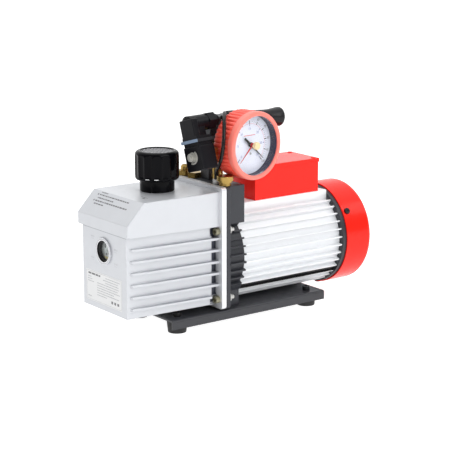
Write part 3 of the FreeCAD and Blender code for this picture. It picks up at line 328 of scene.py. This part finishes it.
MATS = {
    "base_black": surface("base_black", (0.030, 0.031, 0.037), 0.38, grain=0.15, edge=0.8),
    "rubber_black": surface("rubber_black", (0.012, 0.012, 0.013), 0.6, grain=0.3),
    "bolt_black": surface("bolt_black", (0.012, 0.012, 0.013), 0.35, 0.3, edge=0.4, specular=0.3),
    "casing_silver": surface("casing_silver", (0.60, 0.615, 0.645), 0.33, 0.35, grain=0.18,
                             edge=0.7, vary=0.015),
    "gasket_paper": surface("gasket_paper", (0.05, 0.05, 0.05), 0.8, edge=0),
    "zinc": surface("zinc", (0.55, 0.54, 0.50), 0.34, 0.8, edge=0.2, vary=0.02),
    "zinc_yellow": surface("zinc_yellow", (0.36, 0.34, 0.24), 0.3, 1.0, edge=0.3),
    "bezel": surface("bezel", (0.60, 0.61, 0.64), 0.28, 0.4, edge=0.3, vary=0.02),
    "clear": clear_glass("clear"),
    "cap_black": surface("cap_black", (0.002, 0.002, 0.003), 0.13, grain=0.01, edge=0.5,
                         specular=0.08),
    "brass": surface("brass", (0.42, 0.28, 0.085), 0.28, 1.0, edge=0.3, vary=0.03),
    "bracket_black": surface("bracket_black", (0.024, 0.026, 0.033), 0.42, grain=0.35,
                             grain_scale=700, edge=0.8),
    "pump_iron": surface("pump_iron", (0.30, 0.30, 0.30), 0.4, 0.9, edge=0),
    "spring_steel": surface("spring_steel", (0.6, 0.6, 0.62), 0.25, 1.0, edge=0.2),
    "vane_carbon": surface("vane_carbon", (0.05, 0.045, 0.04), 0.6, edge=0),
    "motor_white": surface("motor_white", (0.84, 0.855, 0.875), 0.36, 0.1, grain=0.1, edge=0.5,
                           vary=0.01),
    "core_steel": surface("core_steel", (0.25, 0.25, 0.27), 0.45, 0.9, edge=0),
    "copper": surface("copper", (0.45, 0.17, 0.06), 0.35, 0.8, edge=0),
    "fan_plastic": surface("fan_plastic", (0.03, 0.03, 0.03), 0.5, edge=0.4),
    "red_paint": surface("red_paint", (0.90, 0.014, 0.006), 0.22, grain=0.03, grain_scale=250,
                         coat=0.07, edge=0.9, vary=0.03, specular=0.19),
    "capacitor_white": surface("capacitor_white", (0.8, 0.8, 0.76), 0.3, edge=0),
    "black_plastic": surface("black_plastic", (0.005, 0.005, 0.007), 0.33, grain=0.15,
                             edge=0.6, specular=0.16),
    "switch_red": surface("switch_red", (0.6, 0.01, 0.01), 0.25, edge=0.5, coat=0.3),
    "gasket_blue": surface("gasket_blue", (0.010, 0.011, 0.014), 0.45, edge=0.5, specular=0.3),
    "lead_black": surface("lead_black", (0.006, 0.006, 0.007), 0.26, grain=0.05, edge=0,
                          specular=0.3),
    "white_plastic": surface("white_plastic", (0.82, 0.82, 0.80), 0.45, edge=0.4),
    "grip_rubber": surface("grip_rubber", (0.007, 0.007, 0.009), 0.30, grain=0.08, edge=0.8,
                           specular=0.3),
    "boot_coral": surface("boot_coral", (0.94, 0.095, 0.062), 0.42, grain=0.08, edge=0,
                          vary=0.03, coat=0.1),
    "case_steel": surface("case_steel", (0.026, 0.025, 0.060), 0.35, 0.2, edge=0.3,
                          specular=0.3),
    "dial_white": surface("dial_white", (0.78, 0.82, 0.93), 0.5, edge=0, vary=0.01),
    "pointer_black": surface("pointer_black", (0.004, 0.004, 0.004), 0.4, edge=0, specular=0.2),
    "pointer_red": surface("pointer_red", (0.60, 0.006, 0.016), 0.4, edge=0, specular=0.3),
}
EXTRA = {
    "ink_grey": surface("ink_grey", (0.17, 0.17, 0.18), 0.6, edge=0),
    "ink_pale": surface("ink_pale", (0.42, 0.43, 0.45), 0.6, edge=0),
    "ink_blue": surface("ink_blue", (0.09, 0.13, 0.36), 0.6, edge=0),
    "ink_red": surface("ink_red", (0.72, 0.22, 0.24), 0.6, edge=0),
    "label_white": surface("label_white", (0.80, 0.805, 0.81), 0.42, edge=0, vary=0.01),
    "seal_black": surface("seal_black", (0.010, 0.010, 0.010), 0.45, edge=0),
    "oil_gold": surface("oil_gold", (0.62, 0.54, 0.22), 0.25, edge=0),
    "reflector_grey": surface("reflector_grey", (0.50, 0.55, 0.54), 0.4, 0.1, edge=0),
    "cap_grey": surface("cap_grey", (0.32, 0.32, 0.34), 0.25, edge=0.2),
}


# --- masks: where a finish changes over one CAD piece ---------------------------------------------
FLANGE_DEPTH = 7.3 * MM                           # from the casing's rear face
TIE_CHANNEL = (47.35, 55.85)                      # degrees from straight down, about the shaft
LID_SCREWS_FROM, NUTS_FROM = 0.185, 4 * MM        # a height, and a distance behind the casing
RIBS_OUT, RIBS_UNDER = 50.5 * MM, 0.130           # the ribs lie further out and lower than these
RIB_RAMP, RIB_SHADE = (8 * MM, 75 * MM), 0.85     # along the casing from its front, and how much
POCKET_OUT, POCKET_Z = (46 * MM, 50 * MM), (0.032, 0.134)
POCKET_BEFORE = (16 * MM, 7 * MM)                 # in front of the casing's rear face
LIP_Z = (0.1348, 0.1372)                          # the strip just below the hood's lip
KNOB_BEFORE, RING_BEFORE = 12.8 * MM, 9.0 * MM    # in front of the boot's middle


def off_middle(tree, y):
    """How far a point is from the pump's middle plane, on either side."""
    return maths(tree, "ABSOLUTE", maths(tree, "SUBTRACT", y, AXIS.y))


def normal_part(tree, axis):
    """The X, Y or Z part (axis 0, 1 or 2) of the direction that the surface faces."""
    shape = tree.nodes.new("ShaderNodeNewGeometry")
    face = tree.nodes.new("ShaderNodeSeparateXYZ")
    link(tree, shape.outputs["True Normal"], face.inputs[0])
    return face.outputs[axis]


def flange_mask(tree):
    """The flange at the casing's rear."""
    x = position(tree)[0]
    return between(tree, x, CASING_HIGH.x - FLANGE_DEPTH, CASING_HIGH.x + MM)


def tie_channel_shade_mask(tree):
    """The two low channels between fins, where the tie rods run, painted black as shade."""
    place = position(tree)
    down = maths(tree, "SUBTRACT", AXIS.z, place[2])
    angle = maths(tree, "ARCTAN2", off_middle(tree, place[1]), down)
    return between(tree, angle, *(math.radians(degrees) for degrees in TIE_CHANNEL))


def lid_screw_mask(tree):
    """The screws of the terminal box's lid, which are painted with it."""
    return between(tree, position(tree)[2], LID_SCREWS_FROM, 0.3)


def nut_mask(tree):
    """The plain nuts behind the bracket's plate."""
    return between(tree, position(tree)[0], CASING_HIGH.x + NUTS_FROM, CASING_HIGH.x + 0.1)


def along_gauge(tree):
    """Distance behind the boot's middle, counted along the gauge's own axis."""
    place = position(tree)
    parts = [maths(tree, "MULTIPLY", maths(tree, "SUBTRACT", place[k], BOOT[k]), GAUGE_BACK[k])
             for k in (0, 1)]
    return maths(tree, "ADD", *parts)


def rib_top_shade_mask(tree):
    """The upper faces of the casing's ribs, painted darker as shade, more and more towards the
    flange.
    """
    x, y, z = position(tree)
    flat = maths(tree, "GREATER_THAN", normal_part(tree, 2), 0.6)
    rib = maths(tree, "MULTIPLY", maths(tree, "GREATER_THAN", off_middle(tree, y), RIBS_OUT),
                maths(tree, "LESS_THAN", z, RIBS_UNDER))
    ramp = tree.nodes.new("ShaderNodeMapRange")
    ramp.inputs["From Min"].default_value = CASING_LOW.x + RIB_RAMP[0]
    ramp.inputs["From Max"].default_value = CASING_LOW.x + RIB_RAMP[1]
    ramp.inputs["To Max"].default_value = RIB_SHADE
    link(tree, x, ramp.inputs["Value"])
    return maths(tree, "MULTIPLY", maths(tree, "MULTIPLY", flat, rib), ramp.outputs[0])


def pocket_shade_mask(tree):
    """The deep pockets between the ribs' ends and the flange, painted dark as shade."""
    x, y, z = position(tree)
    here = maths(tree, "MULTIPLY", between(tree, off_middle(tree, y), *POCKET_OUT),
                 between(tree, z, *POCKET_Z))
    return maths(tree, "MULTIPLY", here, between(tree, x, CASING_HIGH.x - POCKET_BEFORE[0],
                                                 CASING_HIGH.x - POCKET_BEFORE[1]))


def lip_mask(tree):
    """The strip of the front wall that the hood's lip keeps in shade."""
    place = position(tree)
    return maths(tree, "MULTIPLY", between(tree, place[0], FRONT_WALL - MM, FRONT_WALL + 0.5 * MM),
                 between(tree, place[2], *LIP_Z))


def sight_ring(low, high):
    """A mask between two radii, in mm, about the sight glass's axis."""
    def mask(tree):
        place = position(tree)
        squares = []
        for k in (1, 2):
            off = maths(tree, "SUBTRACT", place[k], SIGHT[k])
            squares.append(maths(tree, "MULTIPLY", off, off))
        return between(tree, maths(tree, "ADD", *squares), (low * MM) ** 2, (high * MM) ** 2)
    return mask


def gasket_front_light_mask(tree):
    """The gasket's face towards the front of the pump, painted lighter and bluer as light falling
    on it.
    """
    return maths(tree, "LESS_THAN", normal_part(tree, 0), -0.6)


def knob_mask(tree):
    """The brass knob in the middle of the dial's glass."""
    return between(tree, along_gauge(tree), -0.1, -KNOB_BEFORE)


def front_ring_mask(tree):
    """The smooth ring at the boot's front."""
    return between(tree, along_gauge(tree), -0.1, -RING_BEFORE)


repaint(MATS["casing_silver"], flange_mask, (0.78, 0.79, 0.815), 0.25)
# Painted shade: the ribs' upper faces are darkened, the more so towards the flange.
repaint(MATS["casing_silver"], rib_top_shade_mask, (0.29, 0.305, 0.35), 0.5)
# Painted shade: the pockets between the ribs' ends and the flange are darkened.
repaint(MATS["casing_silver"], pocket_shade_mask, (0.10, 0.11, 0.14), 0.5)
repaint(MATS["casing_silver"], lip_mask, (0.36, 0.37, 0.40), 0.5)
repaint(MATS["bezel"], sight_ring(0, 14.05), (0.008, 0.008, 0.009), 0.5, 0.0)
repaint(MATS["bezel"], sight_ring(0, 13.3), (0.42, 0.47, 0.46), 0.4)
repaint(MATS["bezel"], sight_ring(15.3, 15.9), (0.22, 0.22, 0.24), 0.5)
repaint(MATS["bezel"], sight_ring(14.05, 15.3), (0.84, 0.85, 0.87), 0.25)
# Painted light: the gasket's front face is lighter and bluer than the rest of it.
repaint(MATS["gasket_blue"], gasket_front_light_mask, (0.20, 0.27, 0.38))
# Painted shade: the floor and walls of the two tie-rod channels are black.
repaint(MATS["motor_white"], tie_channel_shade_mask, (0.012, 0.012, 0.013), 0.5)
repaint(MATS["zinc_yellow"], nut_mask, (0.62, 0.62, 0.60), 0.3)
repaint(MATS["bolt_black"], lid_screw_mask, (0.90, 0.014, 0.006), 0.3, 0.0)
repaint(MATS["pointer_red"], knob_mask, (0.86, 0.68, 0.40), 0.35, 0.8)
repaint(MATS["boot_coral"], front_ring_mask, (0.96, 0.21, 0.165), 0.38)

for entry in frame["record"]["subparts"]:
    node = NODES[entry["node"]]
    node.data.materials.clear()
    node.data.materials.append(MATS[entry["material_slot"]])
NODES["casing_bolts"].data.materials[0] = MATS["zinc_yellow"]


# --- stage, light and camera --------------------------------------------------------------------
FLOOR_REACH, FLOOR_GLOW = 40, 0.97
SKY_SIDE = (0.35, 0.55, 0.75)                     # the direction in which the studio is brightest
SKY_DIM, SKY_BRIGHT = 0.30, 1.15
LAMP_AIM = Vector((0, 0, 0.12))
LAMPS = (("key", (0.15, -1.75, 1.4), 1.5, 25),    # place, size in metres, watts
         ("strip", (-1.7, -0.5, 0.6), 0.2, 0.9),
         ("rim", (1.6, -0.9, 1.3), 0.7, 3.0),
         ("top", (0.1, 0.5, 1.9), 1.4, 10))
EYE, EYE_AIM, LENS = (-1.2203, -1.6321, 0.5872), (-0.0018, 0.0020, 0.1159), 124.2


def floor_finish():
    """Pale and matt, and it glows a little, so that it stays white round the pump."""
    mat = surface("floor_white", (0.35, 0.35, 0.35), 0.8, edge=0, vary=0.004, specular=0.1)
    shader = mat.node_tree.nodes["Principled BSDF"]
    shader.inputs["Emission Color"].default_value = (1, 1, 1, 1)
    shader.inputs["Emission Strength"].default_value = FLOOR_GLOW
    return mat


def aim(thing, target):
    """Turns a lamp or a camera to look at a place."""
    way = Vector(target) - Vector(thing.location)
    thing.rotation_euler = way.to_track_quat("-Z", "Y").to_euler()


def stage():
    turns = ((-1, -1), (1, -1), (1, 1), (-1, 1))
    corners = [(FLOOR_REACH * a, FLOOR_REACH * b, 0) for a, b in turns]
    floor = mesh_piece("floor", corners, [(0, 1, 2, 3)], smooth=False)
    floor.data.materials.append(floor_finish())


def sky():
    """A soft white studio, brighter to one side than to the other."""
    world = bpy.data.worlds.new("studio")
    world.use_nodes = True
    tree = world.node_tree
    coords = tree.nodes.new("ShaderNodeTexCoord")
    facing = tree.nodes.new("ShaderNodeVectorMath")
    facing.operation = "DOT_PRODUCT"
    facing.inputs[1].default_value = SKY_SIDE
    link(tree, coords.outputs["Generated"], facing.inputs[0])
    glow = tree.nodes.new("ShaderNodeMapRange")
    glow.interpolation_type = "SMOOTHSTEP"
    glow.inputs["From Min"].default_value = 0.0
    glow.inputs["From Max"].default_value = 0.85
    glow.inputs["To Min"].default_value = SKY_DIM
    glow.inputs["To Max"].default_value = SKY_BRIGHT
    link(tree, facing.outputs["Value"], glow.inputs["Value"])
    background = tree.nodes["Background"]
    background.inputs["Color"].default_value = (1, 1, 1, 1)
    link(tree, glow.outputs[0], background.inputs["Strength"])
    bpy.context.scene.world = world


def lamps():
    for name, place, size, power in LAMPS:
        data = bpy.data.lights.new(name, "AREA")
        data.size = size
        data.energy = power
        lamp = bpy.data.objects.new(name, data)
        bpy.context.scene.collection.objects.link(lamp)
        lamp.location = place
        aim(lamp, LAMP_AIM)


def camera():
    data = bpy.data.cameras.new("camera")
    data.sensor_width = 36.0
    data.lens = LENS
    eye = bpy.data.objects.new("camera", data)
    bpy.context.scene.collection.objects.link(eye)
    eye.location = EYE
    aim(eye, EYE_AIM)
    bpy.context.scene.camera = eye


# --- lead ---------------------------------------------------------------------------------------
LEAD_DIAMETER, LEAD_LENGTH = 0.0048, 0.1404
LEAD_ROUTE = [
    (-0.03677, -0.02217, 0.26613),
    (-0.03082, -0.02139, 0.26613),
    (-0.02585, -0.02466, 0.27100),
    (-0.03072, -0.03368, 0.27750),
    (-0.03896, -0.04384, 0.27450),
    (-0.04750, -0.05555, 0.26000),
    (-0.05280, -0.06129, 0.24250),
    (-0.05362, -0.05888, 0.22500),
    (-0.04967, -0.04676, 0.21000),
    (-0.04496, -0.03656, 0.20400),
    (-0.04334, -0.03201, 0.19720),
    (-0.04334, -0.03201, 0.19060),
]


def coil_lead():
    curve = bpy.data.curves.new("coil_lead", "CURVE")
    curve.dimensions = "3D"
    curve.bevel_depth = LEAD_DIAMETER / 2
    curve.bevel_resolution = 8
    curve.resolution_u = 16
    curve.use_fill_caps = True
    spline = curve.splines.new("NURBS")
    spline.points.add(len(LEAD_ROUTE) - 1)
    for point, place in zip(spline.points, LEAD_ROUTE):
        point.co = (*place, 1)
    spline.order_u = 3
    spline.use_endpoint_u = True
    lead = bpy.data.objects.new("coil_lead", curve)
    bpy.context.scene.collection.objects.link(lead)
    dress(lead, "frame", "lead_black", replaces=["solenoid_lead"])


# --- gauge --------------------------------------------------------------------------------------
def boot():
    """Soft boot: a smooth rolled ring in front, and round lobes behind that fade into it."""
    lobes, depth, width = 44, 1.85, 3.15
    bow = (width ** 2 + depth ** 2) / (2 * depth)      # radius of a lobe's round back
    outline = [(-15.4, 40.7), (-15.4, 38.8), (-17.2, 38.8), (-18.0, 39.2), (-18.4, 40.0),
               (-18.5, 41.0), (-18.4, 42.3), (-18.0, 43.4), (-17.2, 44.2), (-16.0, 44.7),
               (-14.5, 44.8), (-12.0, 44.8), (-10.5, 44.7), (-9.4, 44.4), (-8.6, 44.1),
               (-7.6, 44.1), (-6.6, 44.3), (-5.4, 44.5), (-4.0, 44.6), (-2.5, 44.7), (0, 44.7),
               (6, 44.7), (12, 44.7), (15.5, 44.6), (17.0, 44.0), (17.9, 43.0), (18.4, 41.5),
               (18.5, 40.0), (18.5, 30.5), (15.4, 30.5), (15.4, 40.7)]

    def depth_at(index):
        along, radius = outline[index]
        if radius < 41 or along < -9:
            return 0.0
        return min(1.0, (along + 9) / 5.5)

    def radius_of(index, angle, radius):
        part = (angle * lobes / (2 * math.pi)) % 1.0 * 2 - 1
        across = part * width
        dip = bow - math.sqrt(bow ** 2 - across ** 2)
        return radius - dip * MM * depth_at(index)

    profile = [(along * MM, radius * MM) for along, radius in outline]
    piece = lathe("boot", profile, BOOT, GAUGE_BACK, Z, steps=lobes * 14, radius_of=radius_of)
    dress(piece, "frame", "boot_coral", replaces=["gauge_boot"])


def dial_point(radius, degrees):
    """A place on the dial, in mm to the right of its middle and above it."""
    angle = math.radians(degrees)
    return radius * math.cos(angle), radius * math.sin(angle)


def dial_ticks(name, origin, inner, outer, width, angles, ink):
    """Short bars that point at the dial's middle, from the inner to the outer radius in mm."""
    bars = []
    for degrees in angles:
        angle = math.radians(degrees)
        ray = GAUGE_RIGHT * math.cos(angle) + Z * math.sin(angle)
        side = ray.cross(-GAUGE_BACK)
        place = origin + ray * ((inner + outer) / 2 * MM) - GAUGE_BACK * (0.05 * MM)
        bars.append((place, ((outer - inner) * MM, width * MM, 0.08 * MM),
                     (ray, side, GAUGE_BACK)))
    dress(join_boxes(name, bars), "frame", "dial_white", EXTRA[ink])


def dial_print():
    """Two plain scales over three quarters of a turn, from the lower left to the lower right."""
    face = DIAL - GAUGE_BACK * (0.6 * MM)
    start, sweep, outer_steps, inner_steps = 225.0, 270.0, 10, 6
    at = [start - sweep * k / outer_steps for k in range(outer_steps + 1)]
    fine = [start - sweep * k / 50 for k in range(51) if k % 5]
    inner_at = [start - sweep * k / inner_steps for k in range(inner_steps + 1)]
    arc = [start - sweep * k / 120 for k in range(121)]
    for name, inner, outer, width, angles, ink in (
            ("scale_major", 27.4, 31.6, 1.05, at, "seal_black"),
            ("scale_minor", 29.2, 31.4, 0.35, fine, "ink_grey"),
            ("scale_inner", 24.6, 27.4, 0.8, inner_at, "ink_blue"),
            ("scale_line", 27.3, 27.7, 0.75, arc, "ink_red")):
        dial_ticks(name, face, inner, outer, width, angles, ink)
    for name, by, radius, angles, ink in (
            ("scale_figures", 10, 34.9, at, "ink_grey"),
            ("scale_inner_figures", 5, 20.8, inner_at, "ink_blue")):
        figures = [(str(by * k), 4.6, dial_point(radius, a)) for k, a in enumerate(angles)]
        piece = numerals(name, figures, face, GAUGE_RIGHT, Z)
        dress(piece, "frame", "dial_white", EXTRA[ink])
    band = [flat_bar(face, GAUGE_RIGHT, Z, (0, 12.2), (21, 0.9))]
    dress(join_boxes("dial_band", band), "frame", "dial_white", EXTRA["ink_red"])
    dome = [(0, 0.01 * MM), (0, 1.7 * MM), (-0.35 * MM, 1.5 * MM), (-0.4 * MM, 0.01 * MM)]
    at_screw = face - Z * (12 * MM) + GAUGE_RIGHT * (2 * MM)
    spot = lathe("dial_screw", dome, at_screw, GAUGE_BACK, Z, steps=24)
    dress(spot, "frame", "case_steel", EXTRA["ink_pale"])


# --- oil casing ---------------------------------------------------------------------------------
# The slope's lines of print: start and end as shares of its width, how far down as a share of its
# length, and height in mm. Two of them start with a square mark, at this many mm across.
HOOD_LINES = ((0.19, 0.31, 0.045, 1.3), (0.18, 0.76, 0.15, 1.7), (0.18, 0.50, 0.28, 1.7),
              (0.17, 0.80, 0.405, 1.9), (0.18, 0.38, 0.52, 1.7))
HOOD_SQUARES, SQUARE = ((17.5, 0.15), (16.5, 0.405)), 2.2
# The plate's heights and its reach to each side of the middle, in mm; then its lines of print:
# start, end and level in mm from its lower left corner.
LABEL_LOW, LABEL_HIGH, LABEL_LEFT, LABEL_RIGHT = 38.5, 79.0, 43.5, 40.0
LABEL_LIFT, LABEL_PRINT = 0.15, 0.9               # mm: the card's thickness, and its print's height
LABEL_LINES = ((46, 79, 35.8), (40, 76, 32.6), (45, 76, 29.4), (4, 12, 31.6), (4, 14, 28.6),
               (4, 18, 25.6), (26, 78, 26.2), (26, 74, 23.0), (26, 79, 19.8), (26, 66, 16.6),
               (26, 78, 13.4), (26, 50, 10.2), (4, 13, 5.5))
SEAL_OUT, REFLECTOR_R = 13.9, 11.9                # mm from the sight glass's axis
REFLECTOR_FRONT, REFLECTOR_BACK = 5.3, 5.9        # mm behind the front wall
OIL_LEVEL, OIL_R = -8.0, 11.8                     # mm


def hood_print():
    """Short lines of print on the hood's slope, and a mark beside the cap."""
    slope = Vector((HOOD_CHAMFER_X, 0, HOOD_TOP - HOOD_CHAMFER_Z)).normalized()
    corner = Vector((CASING_LOW.x, AXIS.y + HOOD_HALF * MM, HOOD_TOP)) + X * HOOD_CHAMFER_X
    bars = []
    for start, end, down, height in HOOD_LINES:
        bars += print_line(corner, -Y, slope, start * 2 * HOOD_HALF, end * 2 * HOOD_HALF,
                           -down * SLOPE_LENGTH, height)
    bars += [flat_bar(corner, -Y, slope, (across, -down * SLOPE_LENGTH), (SQUARE, SQUARE))
             for across, down in HOOD_SQUARES]
    dress(join_boxes("hood_print", bars), "frame", "casing_silver", EXTRA["ink_grey"])
    top = Vector((CASING_LOW.x, AXIS.y, HOOD_TOP))
    marks = print_line(top, -Y, X, 22, 36, 46, 1.6) + print_line(top, -Y, X, 30, 36, 42, 2.2)
    dress(join_boxes("cap_mark", marks), "frame", "casing_silver", EXTRA["ink_grey"])


def front_label():
    """The plate under the sight glass: a pale card with a thin border and plain bars for print."""
    origin = Vector((FRONT_WALL, AXIS.y + LABEL_LEFT * MM, LABEL_LOW * MM))
    wide, tall = LABEL_LEFT + LABEL_RIGHT, LABEL_HIGH - LABEL_LOW
    card = [flat_bar(origin, -Y, Z, (wide / 2, tall / 2), (wide, tall), LABEL_LIFT)]
    dress(join_boxes("front_label", card), "frame", "casing_silver", EXTRA["label_white"])
    face = origin - X * (LABEL_LIFT * MM)
    inset, line = 1.2, 0.3
    long_line, tall_line = (wide - 2, line), (line, tall - 2)
    marks = [flat_bar(face, -Y, Z, centre, size) for centre, size in (
        ((wide / 2, inset), long_line), ((wide / 2, tall - inset), long_line),
        ((inset, tall / 2), tall_line), ((wide - inset, tall / 2), tall_line))]
    for start, end, level in LABEL_LINES:
        marks += print_line(face, -Y, Z, start, end, level, LABEL_PRINT)
    dress(join_boxes("label_print", marks), "frame", "casing_silver", EXTRA["ink_pale"])
    title = print_line(face, -Y, Z, 5, 34, 36.0, 2.2)
    title += [flat_bar(face, -Y, Z, (61 + 7 * k, 7), (4, 3.4)) for k in range(3)]
    dress(join_boxes("label_title", title), "frame", "casing_silver", EXTRA["ink_grey"])


def sight_marks():
    """Faint level marks either side of the sight glass."""
    origin = Vector((FRONT_WALL, AXIS.y, SIGHT.z))
    bars = []
    for across, level in ((-27, 15), (27, 6.5), (-27, -13), (27, -12)):
        bars += print_line(origin, -Y, Z, across - 4, across + 4, level, 2.0)
        bars += print_line(origin, -Y, Z, across - 3, across + 3, level - 3, 0.7)
    faint = surface("mark_faint", (0.52, 0.53, 0.56), 0.4, 0.2, edge=0)
    dress(join_boxes("sight_marks", bars), "frame", "casing_silver", faint)


def sight_disc(name, front, back, radius, place, slot, ink, steps=96):
    """A thin disc behind the sight glass, from front to back mm behind the wall."""
    profile = [(front * MM, 0.01 * MM), (front * MM, radius * MM), (back * MM, radius * MM),
               (back * MM, 0.01 * MM)]
    dress(lathe(name, profile, place, X, Z, steps=steps), "frame", slot, EXTRA[ink])


def sight_inside():
    """Behind the glass: a black seal, a pale reflector with two dark holes, and oil at its foot."""
    at = Vector((FRONT_WALL, SIGHT.y, SIGHT.z))
    tube = [(0.4, SEAL_OUT), (0.4, 13.0), (1.7, 12.2), (1.7, SEAL_OUT)]
    seal = lathe("sight_seal", [(a * MM, r * MM) for a, r in tube], at, X, Z)
    dress(seal, "frame", "rubber_black", EXTRA["seal_black"])
    sight_disc("sight_reflector", REFLECTOR_FRONT, REFLECTOR_BACK, REFLECTOR_R, at, "bezel",
               "reflector_grey")
    for index, (across, height) in enumerate(((5.6, 4.2), (2.8, -5.0))):
        place = at + Z * (height * MM) + Y * (across * MM)
        sight_disc("sight_hole_%d" % (index + 1), 5.24, REFLECTOR_FRONT, 1.4, place,
                   "rubber_black", "seal_black", steps=24)
    reach = math.acos(-OIL_LEVEL / OIL_R)
    arc = [(OIL_R * math.sin(reach * k / 8), -OIL_R * math.cos(reach * k / 8))
           for k in range(-8, 9)]
    verts = [at + X * (a * MM) + Y * (y * MM) + Z * (z * MM) for a in (5.22, 5.28) for y, z in arc]
    count = len(arc)
    faces = [tuple(range(count)), tuple(range(2 * count - 1, count - 1, -1))]
    faces += [(k, (k + 1) % count, (k + 1) % count + count, k + count) for k in range(count)]
    oil = mesh_piece("sight_oil", verts, faces, smooth=False)
    dress(oil, "frame", "clear", EXTRA["oil_gold"])


# --- oil cap ------------------------------------------------------------------------------------
FLUTES, FLUTE_DEPTH = 16, 1.15                    # depth in mm
LATTICE_R, LATTICE_PITCH = 20.6, 4.4              # mm
HIGHLIGHT_DASHES = (-150, -126)                             # painted highlights on two flutes: degrees about the cap, from +X


def filler_cap():
    """The cap: broad shallow flutes, a rounded rim, and a dished top with a raised lattice."""
    at = Vector(((CAP_LOW.x + CAP_HIGH.x) / 2, AXIS.y, CAP_HIGH.z))
    top, low = 0.0, -34.0
    skirt = low - 3.4
    outline = [(low - 12, 12.9), (low, 12.9), (low, 22.9), (skirt, 22.9), (skirt, 26.2),
               (skirt + 0.4, 27.2), (skirt + 1.4, 28.2), (skirt + 3.2, 28.5), (skirt + 4.2, 28.7),
               (skirt + 6.0, 28.9), (-14, 28.9), (-7.5, 28.9),
               (-5.6, 28.8), (-4.2, 28.5), (-2.8, 28.0), (-1.5, 27.0), (-0.5, 25.6), (top, 24.0),
               (top, 22.4), (-0.4, 21.6), (-1.9, 21.2), (-1.9, 0.01), (low - 12, 0.01)]

    def radius_of(index, angle, radius):
        along, reach = outline[index]
        if reach < 28.2 or not skirt + 3.5 < along < -3:
            return radius
        part = (angle * FLUTES / (2 * math.pi)) % 1.0 * 2 - 1
        hollow = max(0.0, 1 - (part / 0.86) ** 2) ** 0.6
        fade = min(1.0, (-4.0 - along) / 2.0, (along - skirt - 3.4) / 1.4)
        return radius - FLUTE_DEPTH * MM * hollow * max(0.0, fade)

    profile = [(along * MM, radius * MM) for along, radius in outline]
    cap = lathe("filler_cap", profile, at, Z, X, steps=FLUTES * 18, radius_of=radius_of)
    dress(cap, "oil_cap", "cap_black", replaces=["oil_cap"])
    bars = []
    for turn in (45, 135):
        way = Vector((math.cos(math.radians(turn)), math.sin(math.radians(turn)), 0))
        side = Z.cross(way)
        for k in range(-4, 5):
            half = math.sqrt(LATTICE_R ** 2 - (k * LATTICE_PITCH) ** 2)
            bars.append((at + side * (k * LATTICE_PITCH * MM) - Z * (1.45 * MM),
                         (2 * half * MM, 1.3 * MM, 0.9 * MM), (way, side, Z)))
    dress(join_boxes("cap_lattice", bars), "oil_cap", "cap_black", EXTRA["cap_grey"])
    # Two pale dashes low on the flutes, on one side only, are painted highlights.
    highlight_marks = []
    for degrees in HIGHLIGHT_DASHES:
        angle = math.radians(degrees)
        ray = Vector((math.cos(angle), math.sin(angle), 0))
        side = Z.cross(ray)
        highlight_marks.append((at + ray * (28.75 * MM) + Z * ((skirt + 3.4) * MM),
                       (0.3 * MM, 5.2 * MM, 0.9 * MM), (ray, side, Z)))
    dress(join_boxes("cap_painted_highlights", highlight_marks), "oil_cap", "cap_black", EXTRA["label_white"])


stage()
sky()
lamps()
camera()
coil_lead()
boot()
dial_print()
hood_print()
front_label()
sight_marks()
sight_inside()
filler_cap()
bpy.context.scene.view_settings.view_transform = "Standard"
